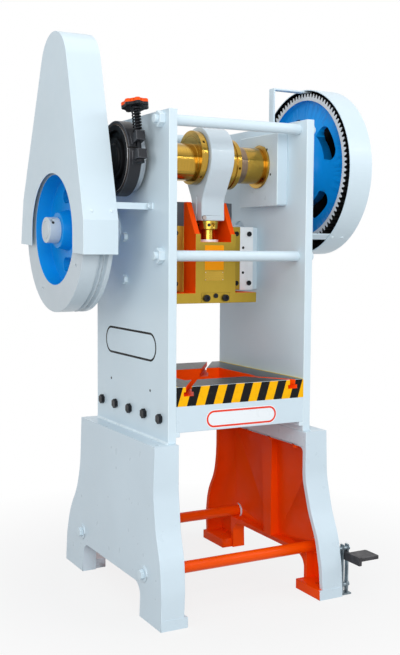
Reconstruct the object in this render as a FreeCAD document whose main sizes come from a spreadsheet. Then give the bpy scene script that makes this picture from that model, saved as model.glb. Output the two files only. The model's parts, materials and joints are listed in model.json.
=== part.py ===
import FreeCAD, Part
import math
import os
import Sketcher

# A geared, open-throated mechanical stamping press of about 30 tonnes, in millimetres.
# X runs to the right, Y to the back and Z up.  The floor is Z = 0, and X = 0, Y = 0 is the
# middle of the four foundation holes, midway between the side plates.

SIZES = {
    # Side plates: two flat plates, and the ledges that carry the bed.
    "clear_width": 500.0,
    "plate_thick": 30.0,
    "plate_depth": 600.0,
    "plate_foot": 580.0,
    "plate_head": 1665.0,
    "ledge_wide": 15.0,
    "ledge_low": 600.0,
    # Bed: a cored casting between the plates, with diagonal T-slots and a scrap opening.
    "bed_low": 615.0,
    "bed_top": 767.0,
    "bed_wall": 35.0,
    "bed_deck": 67.0,
    "opening_width": 286.0,
    "opening_front": -155.0,
    "opening_rear": 115.0,
    "opening_wall": 25.0,
    "slot_angle": 34.3,
    "slot_neck": 18.0,
    "slot_neck_deep": 18.0,
    "slot_head": 31.0,
    "slot_head_deep": 14.0,
    "slot_near": 100.0,
    "slot_far": 420.0,
    # Bed bolts, in a row on each plate.
    "bed_bolt_level": 657.0,
    "bed_bolt_pitch": 122.0,
    "frame_bolt_flats": 30.0,
    "frame_bolt_head": 13.0,
    "frame_bolt_radius": 10.0,
    "frame_bolt_bite": 26.0,
    "bolt_slack": 0.5,
    # Legs: two castings, open on their inner side, with an arch between the feet.
    "leg_top_out": 58.0,
    "leg_foot_out": 77.0,
    "leg_in": -30.0,
    "leg_blank_out": 82.0,
    "leg_beam": 55.0,
    "leg_flange": 20.0,
    "leg_web": 18.0,
    "leg_half_depth": 321.0,
    "leg_straight_front": 420.0,
    "leg_straight_rear": 400.0,
    "leg_knee_level": 302.0,
    "leg_knee_front": 349.0,
    "leg_knee_rear": 346.0,
    "leg_shin_level": 212.0,
    "leg_shin_front": 387.0,
    "leg_shin_rear": 412.0,
    "leg_ankle_level": 112.0,
    "leg_ankle_front": 404.0,
    "leg_ankle_rear": 438.0,
    "leg_toe_front": 407.0,
    "leg_toe_rear": 440.0,
    "leg_sweep": 250.0,
    "leg_hollow_corner": 18.0,
    "leg_edge_low": 400.0,
    "leg_edge_foot": -6.0,
    "arch_front": -245.0,
    "arch_rear": 265.0,
    "arch_top": 110.0,
    "arch_corner": 45.0,
    "arch_rim": 18.0,
    "arch_rim_in": 22.0,
    "leg_rib_front": -22.0,
    "leg_rib_rear": 28.0,
    "leg_rib_top_rear": 56.0,
    "leg_rib_in": 20.0,
    "foot_in": -22.0,
    "foot_tall": 35.0,
    "foot_front_toe": -258.0,
    "foot_rear_toe": 275.0,
    "anchor_x": 20.0,
    "anchor_y": 335.0,
    "anchor_radius": 9.0,
    "leg_bolt_x": -15.0,
    "leg_bolt_pitch": 160.0,
    "leg_bolt_radius": 8.0,
    "leg_bolt_flats": 24.0,
    "leg_seat_radius": 16.0,
    "leg_bolt_grip": 80.0,
    # Tie rods between the plates.
    "tie_front": -250.0,
    "tie_rear": 250.0,
    "tie_upper_level": 1635.5,
    "tie_middle_level": 1195.0,
    "tie_radius": 18.0,
    "tie_end_radius": 13.0,
    "tie_end_out": 32.0,
    "tie_nut_flats": 46.0,
    "tie_nut_thick": 20.0,
    # Tie rods between the legs.
    "leg_rod_level": 150.0,
    "leg_rod_front": -269.0,
    "leg_rod_rear": 276.0,
    "leg_rod_radius": 20.0,
    "leg_boss_radius": 28.0,
    "leg_boss_in": 46.0,
    "leg_boss_out": 76.0,
    "leg_rod_bolt_grip": 60.0,
    # Crankshaft: journals in bronze bushes and an eccentric pin, at the top of its stroke.
    "crank_y": -50.0,
    "crank_z": 1520.0,
    "crank_throw": 18.0,
    "journal_radius": 65.0,
    "pin_radius": 75.0,
    "pin_left": -74.0,
    "crank_end_radius": 50.0,
    "crank_left_end": 90.0,
    "crank_left_step": 15.0,
    "crank_right_step": 4.0,
    "crank_right_end": 194.0,
    "crank_chamfer": 4.0,
    "running_gap": 0.05,
    "seat_gap": 0.05,
    # Rings beside the connecting rod: one on the pin, one on the shaft.
    "pin_ring_radius": 94.0,
    "pin_ring_right": -49.5,
    "shaft_ring_radius": 89.0,
    "shaft_ring_left": 49.5,
    "shaft_ring_right": 88.0,
    "ring_hole_radius": 4.0,
    "ring_hole_deep": 14.0,
    "pin_ring_turn": 59.5,
    "shaft_ring_turn": 102.5,
    "ring_groove_x": 66.0,
    "ring_groove_wide": 6.0,
    "ring_groove_deep": 5.0,
    # Bearing blocks and bushes.
    "block_in": -72.0,
    "block_front": -179.0,
    "block_rear": 79.0,
    "block_low": 1374.0,
    "block_high": 1630.0,
    "block_corner": 8.0,
    "bush_radius": 75.0,
    "bush_flange_radius": 80.0,
    "bush_flange": 8.0,
    "bush_flat_level": 68.0,
    "bush_out": 2.0,
    # Connecting rod, its bush, the ball screw and the lock collar.
    "conrod_half": 46.0,
    "conrod_eye_radius": 108.0,
    "conrod_bush_radius": 82.0,
    "conrod_bush_over": 3.0,
    "conrod_neck_half": 38.0,
    "conrod_neck_level": 1392.0,
    "conrod_shoulder_half": 92.45,
    "conrod_shoulder_level": 1482.2,
    "conrod_neck_sweep": 60.0,
    "conrod_waist_level": 1352.0,
    "conrod_foot_level": 1336.0,
    "conrod_foot_half": 40.0,
    "conrod_low": 1318.0,
    "conrod_split": 3.0,
    "conrod_split_top": 1404.0,
    "screw_radius": 22.5,
    "screw_top": 1410.0,
    "screw_room": 6.0,
    "screw_gap": 0.1,
    "ball_z": 1212.0,
    "ball_radius": 32.0,
    "collar_radius": 40.5,
    "collar_tall": 30.0,
    "collar_hole_radius": 5.0,
    "collar_hole_deep": 12.0,
    "pinch_x": -37.0,
    "pinch_level": 1328.0,
    "pinch_radius": 4.5,
    "pinch_head_radius": 7.5,
    "pinch_head": 5.0,
    # Ram.
    "ram_low": 1028.0,
    "ram_flange_top": 36.0,
    "ram_half": 168.0,
    "ram_front": -112.0,
    "ram_rear": 32.0,
    "nose_half": 81.0,
    "nose_floor": 1243.0,
    "horn_top": 1271.0,
    "horn_flat": 7.0,
    "notch_half": 61.0,
    "fin_top_front": -39.0,
    "ram_top": 1384.0,
    "tongue_half": 115.0,
    "tongue_front": -22.0,
    "slide_gap": 0.3,
    "ram_pocket_rear": 10.0,
    "ram_bore_y": -40.0,
    "ram_bore_radius": 20.0,
    "ram_bore_deep": 60.0,
    "ball_room": 1.2,
    "ball_floor_room": 5.0,
    "clamp_half": 57.0,
    "clamp_gap": 0.2,
    "clamp_bolt_x": 38.0,
    "clamp_bolt_z": 18.0,
    "clamp_bolt_head_radius": 12.5,
    "clamp_bolt_head": 9.0,
    "clamp_bolt_radius": 7.0,
    "clamp_bolt_grip": 98.0,
    "cap_radius": 37.5,
    "cap_tall": 9.0,
    "cap_slot_gap": 0.8,
    # Gibs: brackets on the side plates and front keeper plates.
    "gib_low": 6.0,
    "gib_high": 1299.0,
    "gib_front": -40.0,
    "gib_back": 52.0,
    "gib_slide_in": 96.0,
    "gib_keeper_out": 141.0,
    "gib_block_out": 196.0,
    "gib_foot_front": 20.0,
    "gib_bolt_x": 124.0,
    "gib_bolt_inset": 25.0,
    "gib_black_bolt_x": 178.0,
    "gib_screw_head_radius": 9.0,
    "gib_screw_head": 6.0,
    "gib_screw_radius": 5.0,
    "gib_screw_grip": 40.0,
    "gib_side_bolt_y": 36.0,
    "gib_side_bolt_inset": 40.0,
    # Gears.
    "gear_module": 6.0,
    "gear_teeth": 90.0,
    "pinion_teeth": 15.0,
    "tooth_slack": 0.8,
    "tip_relief": 0.6,
    "gear_left": 121.0,
    "gear_right": 186.0,
    "gear_rim_in": 250.0,
    "gear_web_left": 144.0,
    "gear_web_right": 164.0,
    "gear_dish": 12.0,
    "gear_dome_radius": 128.0,
    "gear_hub_left": 54.0,
    "gear_hub_radius": 84.0,
    "hub_play": 0.3,
    "gear_bush_radius": 58.0,
    "gear_hole_circle": 165.0,
    "gear_hole_half": 31.0,
    "gear_hole_spread": 13.0,
    "gear_hole_angle": 149.0,
    "pinion_left": 118.0,
    "pinion_right": 190.0,
    "retainer_radius": 78.0,
    "retainer_thick": 7.0,
    "retainer_bolt_circle": 26.0,
    "retainer_bolt_radius": 9.0,
    "retainer_bolt_head": 4.0,
    # Clutch sleeve and its key.
    "sleeve_left": 4.0,
    "sleeve_right": 53.6,
    "sleeve_radius": 92.0,
    "key_wide": 14.0,
    "key_tall": 12.0,
    # Back shaft with its housings.
    "shaft_y": 155.0,
    "shaft_radius": 30.0,
    "shaft_left": 254.0,
    "shaft_right": 194.0,
    "shaft_step": 54.0,
    "shaft_step_radius": 24.0,
    "shaft_chamfer": 2.0,
    "housing_flange_radius": 78.0,
    "housing_flange": 16.0,
    "housing_hub_radius": 50.0,
    "housing_out": 48.0,
    "housing_spigot_radius": 46.0,
    "housing_bolt_circle": 64.0,
    "small_bolt_radius": 5.0,
    "small_bolt_flats": 16.0,
    "small_bolt_head": 7.0,
    "small_bolt_grip": 34.0,
    "strap_bolt_grip": 20.0,
    # Flywheel with two belt grooves.
    "wheel_out": 223.0,
    "wheel_in": 117.0,
    "wheel_radius": 288.0,
    "wheel_recess": 192.0,
    "wheel_web_out": 172.0,
    "wheel_web_in": 144.0,
    "wheel_hub_radius": 62.0,
    "wheel_hub_out": 211.0,
    "wheel_hub_in": 120.0,
    "wheel_fillet_run": 10.0,
    "groove_first": 64.0,
    "groove_pitch": 19.0,
    "groove_wide": 16.3,
    "groove_bottom": 6.0,
    "groove_deep": 14.0,
    "wheel_hole_circle": 122.0,
    "wheel_hole_half": 25.0,
    "wheel_hole_spread": 9.0,
    "wheel_hole_angle": 90.0,
    "rim_hole_circle": 240.0,
    "rim_hole_radius": 5.0,
    "rim_hole_deep": 25.0,
    "rim_hole_angle": 30.0,
    "hub_collar_radius": 45.0,
    "hub_collar_hole_radius": 5.0,
    "hub_collar_hole_x": 241.0,
    "hub_collar_turn": 40.0,
    "collar_inset": 1.0,
    # Belt guard: folded sheet over the flywheel.
    "sheet_thick": 3.0,
    "guard_out": 240.0,
    "guard_in": 117.0,
    "guard_front_low_y": 32.0,
    "guard_front_low": 1198.0,
    "guard_crease_y": 33.0,
    "guard_crease": 1310.0,
    "guard_top_y": 107.0,
    "guard_top_z": 1825.0,
    "guard_top_radius": 128.0,
    "guard_rear_crease_y": -3.0,
    "guard_rear_crease": 1397.0,
    "guard_rear_low_y": 27.0,
    "guard_rear_low": 1234.0,
    "guard_arch_y": 140.0,
    "guard_arch_z": 1270.0,
    "guard_arch_radius": 207.0,
    "guard_strap_low": 1348.0,
    "guard_strap_tall": 22.0,
    "strap_thick": 5.0,
    "guard_strap_tab_front": -20.0,
    "guard_strap_tab_rear": 25.0,
    "guard_strap_reach": 83.0,
    "guard_strap_bolt": 25.0,
    # Gear guard: a drum of sheet closed on its outer side, and its two straps.
    "gear_guard_in": 116.0,
    "gear_guard_out": 211.0,
    "gear_guard_z": 1505.0,
    "gear_guard_radius": 303.0,
    "gear_guard_notch": 78.0,
    "upper_strap_front": -66.0,
    "upper_strap_rear": -34.0,
    "upper_strap_x": -18.0,
    "upper_strap_end": 150.0,
    "upper_strap_thick": 6.0,
    "lower_strap_half": 15.0,
    "lower_strap_angle": 36.2,
    "lower_strap_end": 192.0,
    "lower_strap_tab": 40.0,
    "lower_strap_bolt": 15.0,
    "strap_rest": 0.5,
    # Brake on the left end of the crank, leaning back.
    "drum_out": 84.0,
    "drum_in": 15.0,
    "drum_radius": 112.0,
    "drum_recess": 12.0,
    "drum_rim": 18.0,
    "drum_hub_radius": 68.0,
    "brake_tilt": 13.0,
    "shoe_out": 82.0,
    "shoe_in": 38.0,
    "lining_gap": 0.35,
    "lining_thick": 4.0,
    "shoe_radius": 150.0,
    "shoe_split": 6.0,
    "lug_out": 70.0,
    "lug_front": -164.0,
    "lug_root": -118.0,
    "lug_near": 15.0,
    "lug_far": 47.0,
    "spot_face_radius": 17.0,
    "brake_bolt_y": -144.0,
    "brake_bolt_radius": 7.0,
    "brake_bolt_flats": 24.0,
    "brake_bolt_head": 10.0,
    "spring_low": 47.0,
    "spring_high": 122.0,
    "spring_mean_radius": 13.0,
    "wire_radius": 2.7,
    "spring_turns": 7.0,
    "spring_rest": 0.1,
    "knob_radius": 46.5,
    "knob_waist": 40.0,
    "knob_tall": 28.0,
    "knob_neck": 6.0,
    "bolt_over": 4.0,
    "knob_lobes": 7.0,
    "knob_finger": 11.0,
    "knob_hub_radius": 16.0,
    "anchor_pin_y": 172.0,
    "anchor_pin_radius": 10.0,
    "anchor_pin_over": 8.0,
    "anchor_arm_root": 130.0,
    "anchor_shoulder": 18.0,
    "anchor_eye_radius": 20.0,
    "anchor_plate_thick": 14.0,
    "anchor_plate_half": 34.0,
    "eye_gap": 1.0,
    "stud_radius": 10.0,
    "stud_bite": 18.0,
    # Pedal, trip rod and latch on the right side.
    "lever_in": 92.0,
    "lever_out": 104.0,
    "lever_low": 126.0,
    "lever_high": 156.0,
    "lever_front": -478.0,
    "pedal_pivot_y": 50.0,
    "pedal_pivot_radius": 10.0,
    "pedal_eye_radius": 22.0,
    "stud_shoulder": 17.0,
    "stud_play": 0.5,
    "stud_head": 5.0,
    "pin_rest": 0.1,
    "pad_out": 180.0,
    "pad_rear": -400.0,
    "pad_low": 141.0,
    "pad_high": 153.0,
    "pad_corner": 8.0,
    "guide_y": -385.0,
    "guide_half": 8.0,
    "guide_bar": 6.0,
    "guide_gap": 1.0,
    "guide_tall": 180.0,
    "guide_pin_radius": 8.0,
    "guide_pin_high": 165.3,
    "guide_pin_low": 35.0,
    "guide_foot_out": 120.0,
    "guide_foot_half": 15.0,
    "guide_foot_tall": 6.0,
    "trip_y": -100.0,
    "trip_x": 83.0,
    "trip_radius": 6.0,
    "trip_eye_radius": 14.0,
    "trip_pin_radius": 5.0,
    "trip_slot_run": 4.0,
    "trip_pin_gap": 0.6,
    "trip_pin_over": 3.0,
    "trip_guide_z": 900.0,
    "trip_guide_half": 14.0,
    "trip_guide_foot": 8.0,
    "trip_guide_bolt": 26.0,
    "latch_z": 1400.0,
    "latch_pivot_y": -175.0,
    "latch_in": 20.0,
    "latch_out": 34.0,
    "latch_half": 11.0,
    "latch_eye_radius": 18.0,
    "latch_pin_radius": 8.0,
    "latch_shoulder": 14.0,
    "latch_nose": 1.5,
    "latch_nose_half": 9.0,
    "latch_nose_y": -84.0,
}


class Size:
    """A length that keeps both its number and the sheet formula that it comes from."""

    def __init__(self, number, formula=None):
        self.number = float(number)
        self.formula = formula or "(" + repr(self.number) + ")"

    def __float__(self):
        return self.number

    def joined(self, sign, other, number):
        return Size(number, "(" + self.formula + " " + sign + " " + as_size(other).formula + ")")

    def __add__(self, other):
        return self.joined("+", other, self.number + float(other))

    def __sub__(self, other):
        return self.joined("-", other, self.number - float(other))

    def __mul__(self, other):
        return self.joined("*", other, self.number * float(other))

    def __truediv__(self, other):
        return self.joined("/", other, self.number / float(other))

    def __neg__(self):
        return Size(-self.number, "(-1 * " + self.formula + ")")


def as_size(value):
    return value if isinstance(value, Size) else Size(value)


def sine(angle):
    return Size(math.sin(math.radians(float(angle))), "sin(" + angle.formula + ")")


def cosine(angle):
    return Size(math.cos(math.radians(float(angle))), "cos(" + angle.formula + ")")


def arc_tangent(value):
    return Size(math.degrees(math.atan(float(value))), "atan(" + value.formula + ")")


def root(value):
    return Size(math.sqrt(float(value)), "sqrt(" + value.formula + ")")


class Sizes:
    """Every value of the sheet, by its name."""

    def __init__(self, sheet):
        for row, (name, number) in enumerate(SIZES.items(), 1):
            sheet.set("A" + str(row), name)
            sheet.set("B" + str(row), str(number))
            sheet.setAlias("B" + str(row), name)
            setattr(self, name, Size(number, sheet.Name + "." + name))


doc = FreeCAD.newDocument("stamping_press")
sizes_sheet = doc.addObject("Spreadsheet::Sheet", "sizes")
S = Sizes(sizes_sheet)
doc.recompute()

Vector = FreeCAD.Vector
ORIGIN = Vector(0, 0, 0)
UP = Vector(0, 0, 1)
FULL_TURN = 360.0
ZERO = Size(0.0)
SPINDLE = Vector(1, 0, 0)
START = 1
END = 2
MIDDLE = 3
HEXAGON = 6
FLATS_TO_CORNER = Size(math.sqrt(3))
SUBPARTS = []

# The sign with which each plane's own normal runs along the frame's axis.
NORMAL = {"XY_Plane": 1, "XZ_Plane": -1, "YZ_Plane": 1}


# ---------------------------------------------------------------- drawing helpers


def new_body(name, base=None, tilt=None, back=False, listed=True):
    """A body at the frame's origin, or at base and turned by tilt about X."""
    body = doc.addObject("PartDesign::Body", name)
    body.Label = name
    if listed:
        SUBPARTS.append(body)
    if tilt is not None:
        spindle = -SPINDLE if back else SPINDLE
        body.Placement = FreeCAD.Placement(ORIGIN, FreeCAD.Rotation(spindle, float(tilt)))
        body.setExpression("Placement.Rotation.Angle", tilt.formula)
    if base:
        move_to(body, base)
    return body


def origin_part(body, role):
    return next(part for part in body.Origin.OriginFeatures if part.Role == role)


def new_sketch(body, name, plane, level=ZERO):
    """A sketch on one of the body's own planes, moved to level along the frame's axis."""
    sketch = body.newObject("Sketcher::SketchObject", name)
    sketch.AttachmentSupport = [(origin_part(body, plane), "")]
    sketch.MapMode = "FlatFace"
    offset = as_size(level) if NORMAL[plane] > 0 else -as_size(level)
    sketch.AttachmentOffset = FreeCAD.Placement(Vector(0, 0, float(offset)), FreeCAD.Rotation())
    sketch.setExpression("AttachmentOffset.Base.z", offset.formula)
    return sketch


def set_dimension(sketch, kind, size, *target):
    index = sketch.addConstraint(Sketcher.Constraint(kind, *target, float(size)))
    sketch.setExpression("Constraints[" + str(index) + "]", as_size(size).formula)


def pin_point(sketch, geometry, end, across, along):
    set_dimension(sketch, "DistanceX", across, -1, 1, geometry, end)
    set_dimension(sketch, "DistanceY", along, -1, 1, geometry, end)


def draw_loop(sketch, corners):
    """A closed loop of straight lines through corners, each tied to the sheet."""
    first = sketch.GeometryCount
    count = len(corners)
    places = [Vector(float(across), float(along), 0) for across, along in corners]
    for index in range(count):
        sketch.addGeometry(Part.LineSegment(places[index], places[(index + 1) % count]), False)
    for index, (across, along) in enumerate(corners):
        following = first + (index + 1) % count
        sketch.addConstraint(Sketcher.Constraint("Coincident", first + index, END, following, START))
        pin_point(sketch, first + index, START, across, along)


def draw_box(sketch, left, low, right, high):
    draw_loop(sketch, [(left, low), (right, low), (right, high), (left, high)])


def draw_circle(sketch, across, along, radius):
    centre = Vector(float(across), float(along), 0)
    index = sketch.addGeometry(Part.Circle(centre, UP, float(radius)), False)
    pin_point(sketch, index, MIDDLE, across, along)
    set_dimension(sketch, "Radius", radius, index)


def draw_round_box(sketch, left, low, right, high, radius):
    """A box with four equal round corners."""
    corners = [(right, high, 0.0), (left, high, 90.0), (left, low, 180.0), (right, low, 270.0)]
    reach = float(radius)
    arcs = []
    for across, along, angle in corners:
        toward_x = -1.0 if across is right else 1.0
        toward_y = -1.0 if along is high else 1.0
        centre = Vector(float(across) + toward_x * reach, float(along) + toward_y * reach, 0)
        circle = Part.Circle(centre, UP, reach)
        begin = math.radians(angle)
        arcs.append(sketch.addGeometry(Part.ArcOfCircle(circle, begin, begin + math.pi / 2), False))
    for index, arc in enumerate(arcs):
        following = arcs[(index + 1) % len(arcs)]
        segment = Part.LineSegment(sketch.getPoint(arc, END), sketch.getPoint(following, START))
        line = sketch.addGeometry(segment, False)
        sketch.addConstraint(Sketcher.Constraint("Tangent", arc, END, line, START))
        sketch.addConstraint(Sketcher.Constraint("Tangent", line, END, following, START))
        sketch.addConstraint(Sketcher.Constraint("Vertical" if index % 2 else "Horizontal", line))
        if index:
            sketch.addConstraint(Sketcher.Constraint("Equal", arcs[0], arc))
    set_dimension(sketch, "Radius", radius, arcs[0])
    set_dimension(sketch, "DistanceX", right, -1, 1, arcs[0], START)
    set_dimension(sketch, "DistanceY", high, -1, 1, arcs[0], END)
    set_dimension(sketch, "DistanceX", left, -1, 1, arcs[2], START)
    set_dimension(sketch, "DistanceY", low, -1, 1, arcs[2], END)


def draw_slot(sketch, across_a, along_a, across_b, along_b, radius):
    """A round-ended slot between two centres, drawn clear of the body's edges."""
    first = Vector(float(across_a), float(along_a), 0)
    second = Vector(float(across_b), float(along_b), 0)
    heading = math.atan2(second.y - first.y, second.x - first.x)
    quarter = math.pi / 2
    far = Part.ArcOfCircle(Part.Circle(second, UP, float(radius)), heading - quarter, heading + quarter)
    near = Part.ArcOfCircle(Part.Circle(first, UP, float(radius)), heading + quarter, heading + 3 * quarter)
    far_arc = sketch.addGeometry(far, False)
    near_arc = sketch.addGeometry(near, False)
    for from_arc, to_arc in ((far_arc, near_arc), (near_arc, far_arc)):
        segment = Part.LineSegment(sketch.getPoint(from_arc, END), sketch.getPoint(to_arc, START))
        line = sketch.addGeometry(segment, False)
        sketch.addConstraint(Sketcher.Constraint("Tangent", from_arc, END, line, START))
        sketch.addConstraint(Sketcher.Constraint("Tangent", line, END, to_arc, START))
    pin_point(sketch, near_arc, MIDDLE, across_a, along_a)
    pin_point(sketch, far_arc, MIDDLE, across_b, along_b)
    set_dimension(sketch, "Radius", radius, far_arc)


def draw_kidney(sketch, circle, half, spread, angle):
    """A hole bent round the axis: two concentric arcs joined by round ends."""
    inner = float(circle) - float(half)
    outer = float(circle) + float(half)
    begin = math.radians(float(angle) - float(spread))
    finish = math.radians(float(angle) + float(spread))
    edges = [
        Part.ArcOfCircle(Part.Circle(ORIGIN, UP, outer), begin, finish),
        Part.ArcOfCircle(Part.Circle(ORIGIN, UP, inner), begin, finish),
    ]
    for turn, start in ((begin, begin + math.pi), (finish, finish)):
        centre = Vector(float(circle) * math.cos(turn), float(circle) * math.sin(turn), 0)
        edges.append(Part.ArcOfCircle(Part.Circle(centre, UP, float(half)), start, start + math.pi))
    outer_arc, inner_arc, begin_arc, finish_arc = [sketch.addGeometry(edge, False) for edge in edges]
    joins = [(outer_arc, END, finish_arc, START), (finish_arc, END, inner_arc, END)]
    joins += [(inner_arc, START, begin_arc, START), (begin_arc, END, outer_arc, START)]
    for join in joins:
        sketch.addConstraint(Sketcher.Constraint("Coincident", *join))
    for arc in (outer_arc, inner_arc, begin_arc, finish_arc):
        sketch.addConstraint(Sketcher.Constraint("Block", arc))


# ---------------------------------------------------------------- feature helpers


def finish_feature(feature, sketch, length):
    feature.Profile = sketch
    feature.Length = float(length)
    feature.setExpression("Length", as_size(length).formula)
    sketch.Visibility = False
    return feature


def pad(body, name, plane, low, high, draw):
    """Material between two levels along the plane's axis, from what draw puts in the sketch."""
    level = low if NORMAL[plane] > 0 else high
    sketch = new_sketch(body, name + "_sketch", plane, level)
    draw(sketch)
    return finish_feature(body.newObject("PartDesign::Pad", name), sketch, as_size(high) - low)


def pocket(body, name, plane, low, high, draw):
    """Material taken away between two levels along the plane's axis."""
    level = high if NORMAL[plane] > 0 else low
    sketch = new_sketch(body, name + "_sketch", plane, level)
    draw(sketch)
    return finish_feature(body.newObject("PartDesign::Pocket", name), sketch, as_size(high) - low)


def turn(body, name, profile, kind="PartDesign::Revolution", axis="X_Axis"):
    """A profile of (along the axis, radius) corners turned round the body's axis."""
    sketch = new_sketch(body, name + "_sketch", "XZ_Plane")
    corners = profile if axis == "X_Axis" else [(radius, along) for along, radius in profile]
    draw_loop(sketch, corners)
    feature = body.newObject(kind, name)
    feature.Profile = sketch
    feature.ReferenceAxis = (origin_part(body, axis), [""])
    feature.Angle = FULL_TURN
    sketch.Visibility = False
    return feature


def ring_profile(left, right, inner, outer):
    return [(left, inner), (right, inner), (right, outer), (left, outer)]


def polar(body, name, feature, copies, angle=FULL_TURN, axis="X_Axis"):
    pattern = body.newObject("PartDesign::PolarPattern", name)
    pattern.Originals = [feature]
    pattern.Axis = (origin_part(body, axis), [""])
    pattern.Angle = angle
    pattern.Occurrences = int(round(float(copies)))
    if isinstance(copies, Size):
        pattern.setExpression("Occurrences", copies.formula)
    body.Tip = pattern
    return pattern


def edges_along(feature, axis, places, reach=0.6):
    """The names of the straight edges along axis that pass through the given places."""
    names = []
    others = [other for other in "xyz" if other != axis]
    for number, edge in enumerate(feature.Shape.Edges, 1):
        if edge.Curve.TypeId != "Part::GeomLine" or abs(getattr(edge.Curve.Direction, axis)) < 0.999:
            continue
        middle = edge.CenterOfMass
        for place in places:
            if all(abs(getattr(middle, other) - float(at)) < reach for other, at in zip(others, place)):
                names.append("Edge" + str(number))
    return names


def fillet(body, name, feature, edges, radius):
    rounding = body.newObject("PartDesign::Fillet", name)
    rounding.Base = (feature, edges)
    rounding.Radius = float(radius)
    rounding.setExpression("Radius", as_size(radius).formula)
    return rounding


def turned_to(direction):
    return FreeCAD.Rotation(UP, Vector(*direction))


def move_to(thing, place):
    for axis, at in zip("xyz", place):
        thing.setExpression("Placement.Base." + axis, as_size(at).formula)


def bind_all(thing, **values):
    for prop, size in values.items():
        thing.setExpression(prop, as_size(size).formula)


def fastener(name, place, direction, head, head_tall, radius, grip, hexagon=True):
    """One bolt or screw: its head on the seat at place, its shank into the work."""
    if hexagon:
        top = doc.addObject("Part::Prism", name + "_head")
        top.Polygon = HEXAGON
        bind_all(top, Circumradius=head / FLATS_TO_CORNER, Height=head_tall)
    else:
        top = doc.addObject("Part::Cylinder", name + "_head")
        bind_all(top, Radius=head, Height=head_tall)
    shank = doc.addObject("Part::Cylinder", name + "_shank")
    bind_all(shank, Radius=radius, Height=grip)
    shank.setExpression("Placement.Base.z", (-as_size(grip)).formula)
    bolt = doc.addObject("Part::Fuse", name)
    bolt.Base = top
    bolt.Tool = shank
    bolt.Placement = FreeCAD.Placement(ORIGIN, turned_to(direction))
    move_to(bolt, place)
    return bolt


def group(name, members):
    """Like fasteners that share a node, as separate solids."""
    compound = doc.addObject("Part::Compound", name)
    compound.Label = name
    compound.Links = members
    SUBPARTS.append(compound)
    return compound


def mirror_of(source, name):
    """The same piece on the left side."""
    twin = doc.addObject("Part::Mirroring", name)
    twin.Label = name
    twin.Source = source
    twin.Base = ORIGIN
    twin.Normal = SPINDLE
    SUBPARTS.append(twin)


def fastener_group(name, places, **kind):
    """places holds (seat point, outward direction) pairs."""
    members = []
    for number, (place, direction) in enumerate(places, 1):
        members.append(fastener(name + "_" + str(number), place, direction, **kind))
    return group(name, members)


def draw_holes(centres, radius):
    def draw(sketch):
        for across, along in centres:
            draw_circle(sketch, across, along, radius)
    return draw


def box_drawing(left, low, right, high):
    return lambda sketch: draw_box(sketch, left, low, right, high)


def loop_drawing(*loops):
    def draw(sketch):
        for corners in loops:
            draw_loop(sketch, corners)
    return draw


def circle_drawing(radius, across=ZERO, along=ZERO):
    return draw_holes([(across, along)], radius)


# ---------------------------------------------------------------- shared places

HALF = 0.5
PRESSURE_ANGLE = 20.0
DEDENDUM = 1.25
ROOT_SHARE = 0.85
RING_HOLES = 3
RING_HOLE_ANGLE = 160.0
RETAINER_BOLTS = 3
BAR_HOLES = 4
WEB_HOLES = 4
BELT_GROOVES = 2
HALF_TURNS = 2
COIL_SAMPLES = 24
LEAST_CUT = 0.1
LEAN_REACH = 6.0
half_clear = S.clear_width / 2
plate_out = half_clear + S.plate_thick
half_depth = S.plate_depth / 2

# Stations along X: the sheet says how far each lies beyond a side plate's outer face.
RIGHT_STATIONS = (
    "leg_top_out", "leg_foot_out", "leg_in", "leg_blank_out", "leg_edge_foot", "arch_rim_in",
    "leg_rib_in", "foot_in", "leg_boss_in", "leg_boss_out", "leg_bolt_x", "anchor_x", "block_in",
    "bush_out", "crank_right_step", "crank_right_end", "gear_left", "gear_right", "gear_web_left",
    "gear_web_right", "gear_hub_left", "pinion_left", "pinion_right", "sleeve_left", "sleeve_right",
    "shaft_right", "shaft_step", "housing_out", "gear_guard_in", "gear_guard_out", "upper_strap_x",
    "upper_strap_end", "lower_strap_end", "lever_in", "lever_out", "pad_out", "guide_foot_out", "trip_x",
    "latch_in", "latch_out")
LEFT_STATIONS = (
    "crank_left_end", "crank_left_step", "wheel_out", "wheel_in", "wheel_web_out", "wheel_web_in",
    "wheel_hub_out", "wheel_hub_in", "hub_collar_hole_x", "guard_out", "guard_in", "drum_out", "drum_in",
    "shoe_out", "shoe_in", "lug_out", "shaft_left")
for name in RIGHT_STATIONS:
    setattr(S, name, plate_out + getattr(S, name))
for name in LEFT_STATIONS:
    setattr(S, name, -plate_out - getattr(S, name))

# Places that the sheet gives from the part that they belong to.
wheel_front = S.shaft_y - S.wheel_radius
wheel_rear = S.shaft_y + S.wheel_radius
S.guard_front_low_y = wheel_front - S.guard_front_low_y
S.guard_crease_y = wheel_front - S.guard_crease_y
S.guard_rear_crease_y = wheel_rear + S.guard_rear_crease_y
S.guard_rear_low_y = wheel_rear + S.guard_rear_low_y
S.guard_strap_tab_front = S.guard_crease_y + S.guard_strap_tab_front
S.guard_strap_tab_rear = S.guard_crease_y + S.guard_strap_tab_rear
S.clamp_bolt_z = S.ram_low + S.clamp_bolt_z
S.ram_flange_top = S.ram_low + S.ram_flange_top
S.gib_low = S.ram_flange_top + S.gib_low
SIDES = (("left", -1), ("right", 1))
LEFTWARD = (-1, 0, 0)
FORWARD = (0, -1, 0)
DOWNWARD = (0, 0, -1)
centre_distance = S.gear_module * (S.gear_teeth + S.pinion_teeth) / 2
shaft_back = S.shaft_y - S.crank_y
shaft_drop = root(centre_distance * centre_distance - shaft_back * shaft_back)
shaft_z = S.crank_z - shaft_drop
pin_z = S.crank_z + S.crank_throw
crank_line = (ZERO, S.crank_y, S.crank_z)
pin_line = (ZERO, S.crank_y, pin_z)
shaft_line = (ZERO, S.shaft_y, shaft_z)
guard_line = (ZERO, S.crank_y, S.gear_guard_z)
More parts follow.
